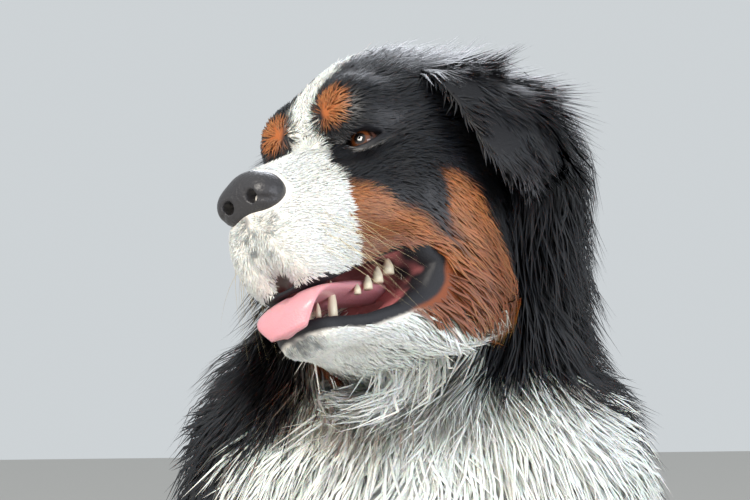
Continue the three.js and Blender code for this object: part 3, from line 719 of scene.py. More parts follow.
class CoatMaker:
    """Grows tufts on a surface and makes coat pieces of them."""

    most = 190000

    def __init__(self, offset: np.ndarray, finish: bpy.types.Material):
        """Keeps where the dog stands and the coat's finish."""
        self.offset = offset
        self.finish = finish

    @staticmethod
    def scatter(surface: Surface, count: int, weigh: Form, seed: int) -> np.ndarray:
        """Root points on a surface, by area and weight.

        Args:
            surface: Where they stand.
            count: How many.
            weigh: Weight of each place, which keeps hair off where it is zero.
            seed: Fixed seed.
        Returns:
            One point a tuft.
        """
        rng = np.random.default_rng(seed)
        a, b, c = (surface.points[surface.faces[:, i]] for i in range(3))
        area = length_of(np.cross(b - a, c - a)) * np.maximum(weigh((a + b + c) / 3), 0)
        pick = rng.choice(len(area), count, p=area / area.sum())
        u, v = rng.random((2, count)).astype(np.float32)
        over = u + v > 1
        u, v = np.where(over, 1 - u, u)[:, None], np.where(over, 1 - v, v)[:, None]
        return a[pick] + u * (b[pick] - a[pick]) + v * (c[pick] - a[pick])

    @staticmethod
    def drift(p: np.ndarray, size: float, seed: int) -> np.ndarray:
        """Smooth noise in three directions, which gathers tufts in clumps."""
        return np.stack([noise(p, size, seed + i) for i in range(3)], 1)

    def lines(self, tufts: Tufts, lie: Form, form: Form | None, comb: Comb) -> np.ndarray:
        """Middle lines of the tufts, laid step by step over the flesh.

        Args:
            tufts: The tufts.
            lie: Direction of the coat at points.
            form: What they lie over, or None where they keep their root's normal.
            comb: How they are laid.
        Returns:
            A row of stations for each tuft.
        """
        rng = np.random.default_rng(comb.seed + 1000)
        count, steps = len(tufts.root), comb.stations
        p, n = tufts.root - tufts.normal * ROOT_DEPTH, tufts.normal
        made = [p]
        swing = rng.normal(0, comb.swing, count)[:, None]
        phase = rng.uniform(0, 6.3, count)[:, None]
        clump = self.drift(tufts.root, comb.clump_size, comb.seed)
        clump += 0.8 * self.drift(tufts.root, 2.7 * comb.clump_size, comb.seed + 5)
        for k in range(1, steps + 1):
            t = k / steps
            heading = lie(p)
            heading = unit(heading - n * np.einsum("ij,ij->i", heading, n)[:, None])
            side = np.cross(n, heading)
            bend = swing + comb.wave * np.sin(phase + 5 * t)
            heading = unit(heading + side * bend + clump * comb.clump * (0.4 + t))
            p = p + heading * (tufts.length / steps)[:, None]
            rise = tufts.height * (1 - (1 - t) ** 2)
            if form is None:
                p = p + n * (tufts.height * (1.5 - t) / steps)[:, None]
            else:
                away = form(p)
                n = outward(form, p)
                lift = rise - away
                most = 0.55 * tufts.length / steps
                lift = np.clip(np.where(lift < 0, lift * comb.hug, lift), -most, most)
                p = p + n * lift[:, None]
            p[:, 2] = np.maximum(p[:, 2], 1.0 + 2 * t)
            made.append(p)
        return np.stack(made, 1)

    def piece(
        self, name: str, tufts: Tufts, line: np.ndarray, comb: Comb, axis: np.ndarray
    ) -> bpy.types.Object:
        """One coat piece from tufts and their lines.

        Args:
            name: Object name.
            tufts: The tufts.
            line: Their stations.
            comb: How they are laid.
            axis: Middle line's start and end, which the map unwraps round.
        Returns:
            The object, in the row frame.
        """
        rows, faces, patch = blade(comb.stations)
        count = len(tufts.root)
        step = rows[:, 0].astype(int)
        tangent = np.gradient(line, axis=1)
        flat = tangent.reshape(-1, 3)
        normal = np.repeat(tufts.normal, line.shape[1], 0)
        across = unit(np.cross(flat, normal)).reshape(line.shape)
        over = unit(np.cross(across.reshape(-1, 3), flat)).reshape(line.shape)
        taper = np.interp(rows[:, 0] / comb.stations, [0, 0.35, 0.7, 1], [0.75, 1, 0.72, 0])
        half = tufts.width[:, None, None] * 0.5 * taper[None, :, None]
        points = line[:, step] + across[:, step] * rows[None, :, 1, None] * half
        points = points + over[:, step] * rows[None, :, 2, None] * half * 0.35
        points[..., 2] = np.maximum(points[..., 2], TUFT_LOWEST)
        # Painted shade and light along each tuft: darker at its root, deep in the coat, and a little
        # brightened at its tip
        painted_shade = np.interp(rows[:, 0] / comb.stations, [0, 0.4, 1], [0.78, 0.98, 1.05])
        colour = np.ones((count, len(rows), 4), np.float32)
        colour[..., :3] = tufts.colour[:, None] * painted_shade[None, :, None]
        side = across[:, step] * rows[None, :, 1, None] * 0.3
        lean = tufts.normal[:, None] + over[:, step] * 0.25 + side
        start, end = axis
        main = unit((end - start)[None])[0]
        u_dir = unit(np.cross(main, [[0.31, 0.2, 0.93]]))[0]
        v_dir = np.cross(main, u_dir)
        rel = tufts.root - start
        around = np.arctan2(rel @ u_dir, rel @ v_dir) / (2 * math.pi) + 0.5
        along = rel @ main
        along = (along - along.min()) / max(np.ptp(along), 1e-6)
        place = np.stack([around, along], 1) * 0.98 + 0.008
        uv = place[:, None] + patch[None] * PATCH
        index = (faces[None] + (np.arange(count) * len(rows))[:, None, None]).reshape(-1, 3)
        surface = Surface(points.reshape(-1, 3).astype(np.float32), index)
        made = mesh_object(name, surface, self.offset, self.finish, colour.reshape(-1, 4))
        layer = made.data.uv_layers.new(name="OFBake")
        layer.data.foreach_set("uv", uv.reshape(-1, 2)[index.reshape(-1)].astype(np.float32).ravel())
        made.data.normals_split_custom_set_from_vertices(unit(lean.reshape(-1, 3)).tolist())
        return made

    def pieces(
        self, name: str, tufts: Tufts, lie: Form, form: Form | None, comb: Comb, axis: Sequence[Place]
    ) -> None:
        """Coat pieces from tufts, split by height so that each stays under the limit.

        Args:
            name: Name of the pieces, before their number.
            tufts: The tufts.
            lie: Direction of the coat at points.
            form: What they lie over, if anything.
            comb: How they are laid.
            axis: Start and end of the line that the map unwraps round.
        """
        line = self.lines(tufts, lie, form, comb)
        each = self.most // len(blade(comb.stations)[1])
        parts = -(-len(tufts.root) // each)
        order = np.array_split(np.argsort(tufts.root[:, 2], kind="stable"), parts)
        for i, keep in enumerate(order):
            made = self.piece(f"{name}_{i + 1}", tufts.part(keep), line[keep], comb, np.array(axis, float))
            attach(made, "root")
            LOG.info("%s: %d tufts", made.name, len(keep))


def mesh_object(
    name: str,
    surface: Surface,
    offset: np.ndarray,
    finish: bpy.types.Material,
    colour: np.ndarray | None = None,
    smooth_faces: bool = True,
) -> bpy.types.Object:
    """A mesh object from a surface in millimetres.

    Args:
        name: Object name.
        surface: Its triangles, in the dog's frame.
        offset: The dog's place in the row frame, in millimetres.
        finish: Material.
        colour: Colour of each point, if any.
        smooth_faces: Whether it is shaded smooth.
    Returns:
        The object, at the origin.
    """
    mesh = bpy.data.meshes.new(name)
    count = len(surface.faces)
    mesh.vertices.add(len(surface.points))
    mesh.vertices.foreach_set("co", ((surface.points + offset) / 1000).astype(np.float32).ravel())
    mesh.loops.add(count * 3)
    mesh.loops.foreach_set("vertex_index", surface.faces.astype(np.int32).ravel())
    mesh.polygons.add(count)
    mesh.polygons.foreach_set("loop_start", np.arange(0, count * 3, 3, dtype=np.int32))
    mesh.update(calc_edges=True)
    mesh.polygons.foreach_set("use_smooth", np.full(count, smooth_faces))
    if colour is not None:
        # Point colours: the markings, with painted shade where the skin and tufts were given it
        layer = mesh.attributes.new("marking_and_painted_shade", "FLOAT_COLOR", "POINT")
        layer.data.foreach_set("color", colour.astype(np.float32).ravel())
    mesh.materials.append(finish)
    made = bpy.data.objects.new(name, mesh)
    bpy.context.scene.collection.objects.link(made)
    LOG.info("%s: %d triangles", name, count)
    return made


# Finishes


def new_material(name: str) -> bpy.types.Material:
    """A material with an empty node tree."""
    made = bpy.data.materials.new(name)
    made.use_nodes = True
    made.node_tree.nodes.clear()
    return made


def add_node(
    tree: bpy.types.NodeTree, kind: str, inputs: dict | None = None, **settings: object
) -> bpy.types.Node:
    """Adds a node with its settings and links.

    Args:
        tree: The material's node tree.
        kind: Type of the node.
        inputs: Values of its inputs by name, or the sockets that feed them.
        settings: Its properties.
    Returns:
        The node.
    """
    node = tree.nodes.new(kind)
    for name, value in settings.items():
        setattr(node, name, value)
    for name, value in (inputs or {}).items():
        if isinstance(value, bpy.types.NodeSocket):
            tree.links.new(value, node.inputs[name])
        else:
            node.inputs[name].default_value = value
    return node


@dataclass(frozen=True)
class Finish:
    """A material: the points' colours, which are the markings with their painted shade, or a plain colour,
    with a fine bump.
    """

    name: str
    roughness: float
    colour: Tone | None = None
    specular: float = 0.5
    coat: float = 0.0
    bump: float = 0.0
    grain: float = 2.0
    subsurface: float = 0.0
    strand: float = 0.0

    def make(self) -> bpy.types.Material:
        """Builds the material.

        Returns:
            The material, with its grain in millimetres on Object coordinates.
        """
        made = new_material(self.name)
        tree = made.node_tree
        place = add_node(tree, "ShaderNodeTexCoord").outputs["Object"]
        if self.colour is None:
            base = add_node(tree, "ShaderNodeAttribute", attribute_name="marking_and_painted_shade").outputs["Color"]
        else:
            plain = add_node(tree, "ShaderNodeRGB")
            plain.outputs[0].default_value = (*self.colour.rgb, 1)
            base = plain.outputs[0]
        grain = add_node(
            tree, "ShaderNodeTexNoise", {"Vector": place, "Scale": 1000 / self.grain, "Detail": 3.0}
        ).outputs["Fac"]
        if self.strand:
            vary = add_node(
                tree,
                "ShaderNodeMapRange",
                {"Value": grain, "To Min": 1 - self.strand, "To Max": 1 + self.strand},
            ).outputs["Result"]
            base = add_node(
                tree, "ShaderNodeVectorMath", {0: base, "Scale": vary}, operation="SCALE"
            ).outputs["Vector"]
        shader = add_node(
            tree,
            "ShaderNodeBsdfPrincipled",
            {
                "Base Color": base,
                "Roughness": self.roughness,
                "Specular IOR Level": self.specular,
                "Coat Weight": self.coat,
                "Coat Roughness": 0.08,
                "Subsurface Weight": self.subsurface,
                "Subsurface Scale": 0.004,
            },
        )
        if self.bump:
            bump = add_node(
                tree, "ShaderNodeBump", {"Height": grain, "Strength": 0.6, "Distance": self.bump / 1000}
            )
            tree.links.new(bump.outputs["Normal"], shader.inputs["Normal"])
        add_node(tree, "ShaderNodeOutputMaterial", {"Surface": shader.outputs["BSDF"]})
        return made


# Grown outer hair: silky, so the black shows soft lights along it, and uneven from hair to hair
FUR = Finish("dog_hair", 0.45, grain=1.2, strand=0.3, subsurface=0.3)
# Skin of lips, lids and below the hair: a dull sheen over fine creases
SKIN = Finish("dog_skin", 0.55, grain=1.6, bump=0.5, specular=0.35)
# Bare pad of the nose: damp, so it shines softly, over a pebbled surface
LEATHER = Finish("nose_leather", 0.45, Tone.LEATHER, coat=0.12, bump=1.4, grain=2.6)
# Flesh of the tongue: wet and finely rough, with light let a little way in
TONGUE = Finish("tongue_flesh", 0.38, Tone.TONGUE, coat=0.3, bump=0.5, grain=1.4, subsurface=0.2)


@dataclass(frozen=True)
class EyeFinish:
    """A brown eye behind a wet clear surface."""

    pupil: str = "#050303"
    iris: str = "#5c3117"
    rim: str = "#2a160c"
    edge: str = "#1c0f0a"
    white: str = "#5c4038"

    def make(self) -> bpy.types.Material:
        """Builds the material, with rings by the mesh's attribute of the angle from the gaze.

        Returns:
            The material.
        """
        made = new_material("eye_wet")
        tree = made.node_tree
        angle = add_node(tree, "ShaderNodeAttribute", attribute_name="gaze").outputs["Fac"]
        ramp = add_node(tree, "ShaderNodeValToRGB", {"Fac": angle})
        stops = [(0.0, self.pupil), (0.27, self.pupil), (0.31, self.rim), (0.37, self.iris)]
        stops += [(0.52, self.iris), (0.62, self.rim), (0.68, self.edge)]
        stops += [(0.8, self.white), (1.0, self.white)]
        band = ramp.color_ramp
        while len(band.elements) < len(stops):
            band.elements.new(0.5)
        for element, (where, code) in zip(band.elements, stops):
            element.position = where
            element.color = (*linear(code), 1)
        shader = add_node(
            tree,
            "ShaderNodeBsdfPrincipled",
            {
                "Base Color": ramp.outputs["Color"],
                "Roughness": 0.12,
                "Coat Weight": 1.0,
                "Coat Roughness": 0.03,
            },
        )
        add_node(tree, "ShaderNodeOutputMaterial", {"Surface": shader.outputs["BSDF"]})
        return made


@dataclass(frozen=True)
class PlainFinish:
    """One colour, for teeth, claws, whiskers and the floor."""

    name: str
    code: str
    roughness: float

    def make(self) -> bpy.types.Material:
        """Builds the material.

        Returns:
            The material.
        """
        made = bpy.data.materials.new(self.name)
        made.use_nodes = True
        shader = made.node_tree.nodes["Principled BSDF"]
        shader.inputs["Base Color"].default_value = (*linear(self.code), 1)
        shader.inputs["Roughness"].default_value = self.roughness
        return made


IVORY = PlainFinish("tooth_ivory", "#e6dcc2", 0.25)  # enamel: smooth and wet, slightly yellow
HORN = PlainFinish("claw_horn", "#4c443c", 0.4)  # dark horn with a worn shine
STRAW = PlainFinish("whisker_hair", "#d8c9a0", 0.4)  # stiff pale hair that catches the light
PALE_FLOOR = PlainFinish("studio_floor", "#c4c2be", 0.85)  # matt paint, with no reflection


def tube(line: np.ndarray, across: np.ndarray, over: np.ndarray, sides: int = 8) -> Surface:
    """A closed tube from stations with half-axes, with a point at its end.

    Args:
        line: Middle points.
        across: First half-axis of each station.
        over: Second half-axis of each station.
        sides: Corners of a ring.
    Returns:
        The surface.
    """
    turn = np.arange(sides) * 2 * math.pi / sides
    cos, sin = np.cos(turn)[None, :, None], np.sin(turn)[None, :, None]
    ring = line[:, None] + across[:, None] * cos + over[:, None] * sin
    points = np.vstack([ring.reshape(-1, 3), line[:1], line[-1:]])
    return Surface(points.astype(np.float32), ring_faces(len(line), sides)).facing_out()


def through(points: Sequence, shares: np.ndarray) -> np.ndarray:
    """A smooth curve through points.

    Args:
        points: Points, or rows of values.
        shares: Places along it, from 0 to 1.
    Returns:
        One row a share.
    """
    p = np.array(points, float)
    p = np.vstack([2 * p[0] - p[1], p, 2 * p[-1] - p[-2]])
    at = np.clip(shares, 0, 0.99999) * (len(p) - 3)
    i, t = at.astype(int), (at % 1).reshape(-1, *([1] * (p.ndim - 1)))
    a, b, c, d = p[i], p[i + 1], p[i + 2], p[i + 3]
    return 0.5 * (2 * b + (c - a) * t + (2 * a - 5 * b + 4 * c - d) * t**2 + (3 * b - a - 3 * c + d) * t**3)


@dataclass
class Ear:
    """A hanging ear: a thin flap bent round the head."""

    side: int
    front: tuple = ((52, 4, 98), (76, -8, 78), (92, -12, 50), (100, -8, 22), (105, 4, -2), (109, 18, -14))
    back: tuple = ((48, 72, 96), (80, 86, 80), (100, 88, 56), (108, 76, 28), (111, 50, 2), (110, 32, -14))
    tip: tuple = (110, 26, -19)
    bulge: tuple = (4, 9, 11, 9, 5, 2)
    half: tuple = (7, 6, 5, 4.5, 4, 2.5)
    rows: int = 34
    columns: int = 22

    def surface(self) -> Surface:
        """The flap, between its front and back edges.

        Returns:
            A closed surface in the dog's frame.
        """
        flip = np.array([self.side, 1, 1])
        shares = np.linspace(0, 1, self.rows)
        a, b = (through(np.array(edge) * flip, shares) for edge in (self.front, self.back))
        bulge = through(np.array(self.bulge)[:, None], shares)
        half = through(np.array(self.half)[:, None], shares)
        turn = np.arange(2 * self.columns) * math.pi / self.columns
        share = 0.5 - 0.5 * np.cos(turn)
        arch = np.sin(math.pi * share)
        p = a[:, None] + (b - a)[:, None] * share[None, :, None]
        out = bulge * arch + half * np.sin(turn)[None] * 0.9
        p[..., 0] += self.side * out
        top, tip = p[0].mean(0)[None] + (0, 0, 5), (np.array(self.tip) * flip)[None]
        points = np.vstack([p.reshape(-1, 3), top, tip])
        return Surface(from_head(points), ring_faces(self.rows, 2 * self.columns)).facing_out()


class Dog:
    """The whole animal, piece by piece."""

    flesh = (
        "torso chest head jaw ear_left ear_right neck foreleg_left foreleg_right forepaw_left forepaw_right"
        " hindpaw_left hindpaw_right haunch_left haunch_right tail_base tail_plume"
    ).split()

    def __init__(self) -> None:
        """Finds the dog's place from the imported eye."""
        low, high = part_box("eye_left")
        middle = np.array((low + high) / 2) * 1000
        self.offset = middle - from_head(eye_centre(1)[None])[0]
        self.body = surface_of(on_floor(BODY), (-230, -130, 0), (350, 610, 830), BODY_CELL)
        box = [((s * PAW_SPREAD - 75, -125, 0), (s * PAW_SPREAD + 75, 40, 75)) for s in SIDES]
        self.paws = [surface_of(on_floor(f), *b, FOREPAW_CELL) for f, b in zip(FOREPAWS, box)]
        box = [((s * 140 - 75, 40, 0), (s * 140 + 75, 340, 85)) for s in SIDES]
        self.paws += [surface_of(on_floor(f), *b, HIND_FOOT_CELL) for f, b in zip(HIND_FEET, box)]
        self.head = surface_of(head_skin, (-100, -178, -140), (100, 115, 135), HEAD_CELL).from_head()
        self.ears = [Ear(s).surface() for s in SIDES]

    def skin(self) -> None:
        """One skin over all the flesh."""
        head_colour = MARKINGS.bare(self.head.points, MARKINGS.head(self.head.points))
        whole, colours = self.head, [head_colour]
        for ear in self.ears:
            whole = whole.joined(ear)
            colours.append(np.tile(Tone.BLACK.rgb, (len(ear.points), 1)))
        for part in (self.body, *self.paws):
            whole = whole.joined(part)
            colours.append(MARKINGS.body(part.points))
        colour = np.ones((len(whole.points), 4))
        colour[:, :3] = np.vstack(colours)
        # Painted shade: the skin of the body and feet is darkened under the coat
        colour[len(self.head.points) :, :3] *= SKIN_PAINTED_SHADE
        made = mesh_object("skin", whole, self.offset, SKIN.make(), colour)
        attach(made, "root")
        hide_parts(*self.flesh)

    def eyes(self) -> None:
        """Both eyes, with a rounded cornea."""
        finish = EyeFinish().make()
        for side, name in zip(SIDES, ("left", "right")):
            out, up, gaze = eye_axes(side)
            rings, around = 48, 48
            tilt = np.linspace(0, math.pi, rings + 1)[:, None]
            turn = np.linspace(0, 2 * math.pi, around, endpoint=False)[None]
            reach = EYE_RADIUS + CORNEA_RISE * np.exp(-((tilt / CORNEA_ANGLE) ** 4))
            p = (
                gaze * (np.cos(tilt) * reach + 0 * turn)[..., None]
                + out * (np.sin(tilt) * np.cos(turn) * reach)[..., None]
                + up * (np.sin(tilt) * np.sin(turn) * reach)[..., None]
            )
            faces = ring_faces(rings + 1, around, capped=False)[:, [0, 2, 1]]
            made = Surface(from_head(p.reshape(-1, 3) + eye_centre(side)), faces)
            if side < 0:
                made.faces = made.faces[:, ::-1]
            eye = mesh_object(f"eyeball_{name}", made, self.offset, finish)
            layer = eye.data.attributes.new("gaze", "FLOAT", "POINT")
            value = np.repeat(np.sin(np.minimum(tilt, 1.5)).ravel(), around)
            layer.data.foreach_set("value", value.astype(np.float32))
            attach(eye, "root")
            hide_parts(f"eye_{name}")

    def nose(self) -> None:
        """The nose leather."""
        pad = surface_of(nose_leather, (-30, -176, -40), (30, -128, 20), NOSE_CELL).from_head()
        made = mesh_object("nose_pad", pad, self.offset, LEATHER.make())
        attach(made, "root")
        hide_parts("nose")

    def tongue(self) -> None:
        """The tongue, grooved along its middle."""
        path = [(0, -44, -66), (0, -76, -70), (2, -108, -76), (4, -136, -83), (5, -150, -93)]
        path += [(6, -153, -108)]
        shares = np.linspace(0, 1, 30)
        line = through(path, shares)
        wide = through(np.array([16, 22, 25, 27, 25, 15.0])[:, None], shares)
        thick = through(np.array([7, 7, 6, 5, 4.5, 3.5])[:, None], shares)
        tangent = unit(np.gradient(line, axis=0))
        across = unit(np.cross(tangent, [[0, -0.4, 1]] * len(line)))
        over = unit(np.cross(across, tangent))
        made = tube(line, across * wide, over * thick, 24)
        q = made.points
        groove = np.exp(-((q[:, 0] - 3) ** 2) / 14)
        q[:, 2] -= groove * 1.8
        tongue = mesh_object("tongue_blade", made.from_head(), self.offset, TONGUE.make())
        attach(tongue, "root")
        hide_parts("tongue")

    def teeth(self) -> None:
        """The lower teeth: two cutting teeth, the fang and four behind it, on each side."""
        rows = [(4, -124, -92, 6, 2.4), (10, -121, -91, 7, 2.6), (17, -113, -88, 19, 4.4)]
        rows += [(24, -90, -77, 5, 3.4), (26, -79, -72, 7, 4.4), (28, -68, -66, 8, 5)]
        rows += [(30, -56, -59, 8, 5.4)]
        teeth = []
        rise = np.array([-0.6, 0.1, 0.45, 0.75, 0.93, 1.0])
        for s in SIDES:
            for x, y, z, height, radius in rows:
                line = np.array([s * x, y, z]) + np.outer(height * rise, [0, 0.25, 1])
                r = radius * np.array([0.9, 0.86, 0.66, 0.42, 0.2, 0.04])[:, None]
                teeth.append(tube(line, r * [[0, 1, 0]], r * [[-0.75, 0, 0]], 10))
        whole = reduce(Surface.joined, teeth).from_head()
        made = mesh_object("lower_teeth", whole, self.offset, IVORY.make())
        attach(made, "root")

    def claws(self) -> None:
        """A claw at each toe."""
        claws = []
        for s in SIDES:
            for spread, front, out in ((PAW_SPREAD, -104, 2), (HIND_PAW_SPREAD, 58, 4)):
                for a in TOES:
                    foot = np.array([s * spread + a + s * out, front + abs(a) * 0.32, 0])
                    line = foot + np.array([(0, 10, 19), (0, 2, 16), (0, -5, 10), (0, -8, 5)])
                    r = np.array([4.5, 4, 2.6, 0.6])[:, None]
                    claws.append(tube(line, r * [[0.8, 0, 0]], r * [[0, 0.4, 0.9]], 8))
        made = mesh_object("claws", reduce(Surface.joined, claws), self.offset, HORN.make())
        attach(made, "root")

    def whiskers(self) -> None:
        """Whiskers rooted on the sides of the muzzle."""
        rng = np.random.default_rng(11)
        hairs = []
        for s in SIDES:
            for _ in range(26):
                y, z = rng.uniform(-138, -98), rng.uniform(-58, -24)
                root = np.array([s * 40.0, y, z])
                for _ in range(6):
                    n = outward(WHOLE_HEAD, root[None].astype(np.float32))[0]
                    root = root - n * WHOLE_HEAD(root[None].astype(np.float32))[0]
                aim = np.array([s * rng.uniform(0.3, 0.6), rng.uniform(0.1, 0.7), rng.uniform(-0.9, -0.2)])
                aim /= np.linalg.norm(aim)
                t = np.linspace(0, 1, 6)[:, None]
                span = rng.uniform(34, 66)
                line = root + aim * span * t + np.array([0, 0.25, -0.2]) * span * t**2
                r = 0.2 * (1.05 - t)
                hairs.append(tube(line, r * [[0, 0, 1.0]], r * [[0, 1.0, 0]], 3))
        whole = reduce(Surface.joined, hairs).from_head()
        made = mesh_object("whiskers", whole, self.offset, STRAW.make())
        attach(made, "root")


# The lie of the coat


def face_lie(p: np.ndarray) -> np.ndarray:
    """Back over the muzzle and head and down the cheeks.

    Args:
        p: Points of the dog's frame.
    Returns:
        One direction a point.
    """
    x, y, z = to_head(p).T
    low = smooth(-z, -40, 40) * smooth(y, -90, -20)
    way = np.stack([0.006 * x, np.ones_like(x), -0.12 - 1.2 * low + 0.3 * smooth(z, 70, 100)], 1)
    return way @ HEAD.T


def one_way(way: np.ndarray) -> Form:
    """A coat that lies one way everywhere."""
    return lambda p: np.tile(way, (len(p), 1))


def body_lie(kind: np.ndarray) -> Form:
    """Directions of the body's coat, for roots of known kinds.

    Args:
        kind: Index of each root's region, in the order of Coat.regions.
    Returns:
        A function of the points.
    """

    def lie(p: np.ndarray) -> np.ndarray:
        """Directions at points: back and down the trunk, down the legs, out along the tail."""
        x, y, _ = p.T
        one = np.ones_like(x)
        torso = np.stack([0.1 * np.sign(x), 0.5 * one, -one], 1)
        chest = np.stack([0.004 * x, 0.05 * one, -one], 1)
        neck = np.stack([0.004 * x, 0.006 * (y - 10), -one], 1)
        leg = np.stack([0 * x, 0.35 * one, -one], 1)
        path = np.array(TAIL, float)
        near = ((p[:, None] - path[None]) ** 2).sum(2).argmin(1)
        run = np.gradient(path, axis=0)[near]
        out = (p - path[near]) * (1, 1, 0.3)
        tail = unit(run) + 0.35 * unit(out)
        ways = np.stack([torso, chest, neck, leg, leg, tail])
        return ways[kind, np.arange(len(p))]

    return lie


@dataclass(frozen=True)
class Region:
    """Long coat of one part of the body: its tufts' sizes, most, rings, and its map's middle line."""

    name: str
    form: Form
    length: float
    width: float
    height: float
    most: int
    stations: int
    axis: tuple
    clump: float = 0.4


class Coat:
    """All the dog's hair."""

    regions = (
        Region("coat_torso", TRUNK, 80, 4.2, 27, 11000, 2, ((0, 60, 520), (0, 320, 120))),
        Region("coat_bib", CHEST, 96, 2.7, 31, 20200, 3, ((0, 40, 300), (0, 20, 620)), 0.3),
        Region("coat_ruff", NECK, 84, 2.6, 31, 14500, 3, ((0, 60, 520), (0, 20, 760))),
        Region("coat_forelegs", nearest(*FORELEGS), 24, 3.0, 6, 4500, 3, ((0, 60, 60), (0, 80, 380))),
        Region("coat_haunches", nearest(*HAUNCHES), 76, 4.0, 22, 9500, 2, ((0, 120, 100), (0, 300, 150))),
        Region("coat_tail", TAIL_FORM, 96, 4.4, 30, 3500, 3, ((0, 405, 70), (318, 562, 26))),
    )
    # Roots: the body's are shared out among its regions, which each keep their most
    face_roots, ear_roots, body_roots, paw_roots = 38000, 6500, 165000, 9500

    def __init__(self, dog: Dog, count: float = 1.0):
        """Keeps what the coat grows on.

        Args:
            dog: The dog.
            count: Share of the tufts to make, from 0 to 1.
        """
        self.dog = dog
        self.share = count
        self.maker = CoatMaker(dog.offset, FUR.make())

    def tufts(
        self, root: np.ndarray, normal: np.ndarray, sizes: Sequence, colour: np.ndarray, seed: int
    ) -> Tufts:
        """Tufts with sizes and colours varied a little.

        Args:
            root: Their roots.
            normal: Directions away from the flesh.
            sizes: Length, width and height, each one value or one a tuft.
            colour: Their colours.
            seed: Fixed seed.
        Returns:
            The tufts.
        """
        rng = np.random.default_rng(seed)
        length, width, height = (np.broadcast_to(np.asarray(v, np.float32), len(root)) for v in sizes)

        def vary(spread: float) -> np.ndarray:
            """A factor near one for each tuft."""
            return rng.uniform(1 - spread, 1 + spread, len(root)).astype(np.float32)

        tint = vary(0.13)[:, None] * (1 + rng.normal(0, 0.02, (len(root), 3)))
        return Tufts(root, normal, length * vary(0.3), width * vary(0.25), height * vary(0.4), colour * tint)

    def face(self) -> None:
        """Short hair of the head, longer on crown and cheeks."""

        def sizes(q: np.ndarray) -> tuple[np.ndarray, np.ndarray, np.ndarray]:
            """Length, width and height at points of the head's frame."""
            _, y, z = q.T
            low = smooth(-z, 10, 90) * smooth(y, -80, -30)
            crown = smooth(z, 60, 105) * smooth(y, -50, 20)
            rear = smooth(y, 0, 70)
            length = np.interp(y, [-160, -110, -80, -50, 0, 60], [4.5, 7, 9, 11, 17, 30])
            length = length + 26 * low + 30 * crown + 20 * rear
            width = np.interp(y, [-160, -100, -60, 0, 60], [0.9, 1.1, 1.3, 1.8, 2.3]) + 0.5 * low
            height = np.interp(y, [-160, -110, -60, 0, 60], [1.2, 1.8, 2.8, 4.5, 9]) + 8 * low + 8 * crown
            top = smooth(z, 66, 100)
            height += 20 * top * smooth(y, -30, 10) + 16 * top * smooth(y, 20, 70)
            return length, width, height

        def weigh(p: np.ndarray) -> np.ndarray:
            """More where hair is small, and none on lips, lids, nose or inside the neck."""
            q = to_head(p)
            length, width, _ = sizes(q)
            ok = (mouth_distance(q) > lip_width(q) - 0.5) & (lids_distance(q) > 3.0)
            ok &= (NOSE(q) > 1.5) & (WHOLE_HEAD(q) > -2.5) & (BODY(p) > -12)
            return ok / (length * width) ** 0.72

        root = CoatMaker.scatter(self.dog.head, int(self.face_roots * self.share), weigh, seed=21)
        q = to_head(root)
        tufts = self.tufts(root, outward(FLESH, root), sizes(q), MARKINGS.head(root), seed=22)
        comb = Comb(seed=23, stations=2, swing=0.12, clump=0.22, clump_size=9)
        axis = from_head([(0, -160, -20), (0, 90, 20)])
        self.maker.pieces("coat_face", tufts, face_lie, FLESH, comb, axis)

    def ears(self) -> None:
        """Short hair of the ear flaps, with wavy hair along their backs."""
        for side, ear in zip(SIDES, self.dog.ears):
            normals = ear.normals()

            def sizes(q: np.ndarray) -> tuple[np.ndarray, np.ndarray, np.ndarray]:
                """Length, width and height at points of the head's frame."""
                long = np.maximum(smooth(q[:, 1], 40, 84), smooth(q[:, 2], 78, 100))
                return 17 + 34 * long, 1.6 + 0.9 * long, 3.0 + 9 * long

            def weigh(p: np.ndarray) -> np.ndarray:
                """More where hair is small."""
                length, width, _ = sizes(to_head(p))
                return 1 / (length * width) ** 0.6

            root = CoatMaker.scatter(ear, int(self.ear_roots * self.share), weigh, seed=31 + side)
            near = np.empty(len(root), int)
            for block in np.array_split(np.arange(len(root)), 12):
                near[block] = ((root[block, None] - ear.points[None]) ** 2).sum(2).argmin(1)
            black = np.tile(Tone.BLACK.rgb, (len(root), 1))
            tufts = self.tufts(root, normals[near], sizes(to_head(root)), black, seed=33 + side)
            lie = one_way((np.array([[0, 0.35, -1.0]]) @ HEAD.T)[0])
            comb = Comb(seed=35 + side, stations=2, swing=0.2, clump=0.4, clump_size=12)
            axis = from_head([(side * 60, 40, 110), (side * 108, 30, -30)])
            name = "coat_ears_left" if side > 0 else "coat_ears_right"
            self.maker.pieces(name, tufts, lie, None, comb, axis)

    def body(self) -> None:
        """The long coat, region by region."""
        root = CoatMaker.scatter(self.dog.body, int(self.body_roots * self.share), self.weigh_body, seed=41)
        distance = [r.form(root) + 10 * noise(root, 18, 50 + i) for i, r in enumerate(self.regions)]
        kind = np.stack(distance).argmin(0)
        rng = np.random.default_rng(43)
        for i, region in enumerate(self.regions):
            keep = np.flatnonzero(kind == i)
            keep = rng.permutation(keep)[: int(region.most * self.share)]
            p = root[keep]
            length, height = np.full(len(p), region.length), np.full(len(p), region.height)
            if region.name == "coat_forelegs":
                back = smooth(p[:, 1] - (24 + 0.27 * (p[:, 2] - 128)), -5, 30)
                length, height = region.length + 40 * back, region.height + 18 * back
            if region.name == "coat_haunches":
                low = smooth(-p[:, 2], -150, -60)
                length, height = region.length * (1 - 0.5 * low), region.height * (1 - 0.6 * low)
            sizes = (length, region.width, height)
            tufts = self.tufts(p, outward(FLESH, p), sizes, MARKINGS.body(p), seed=44 + i)
            comb = Comb(
                seed=60 + 7 * i,
                stations=region.stations,
                swing=0.14,
                clump=region.clump,
                clump_size=24,
                wave=0.12,
                hug=0.45,
            )
            lie = body_lie(np.full(len(p), i))
            self.maker.pieces(region.name, tufts, lie, FLESH, comb, region.axis)

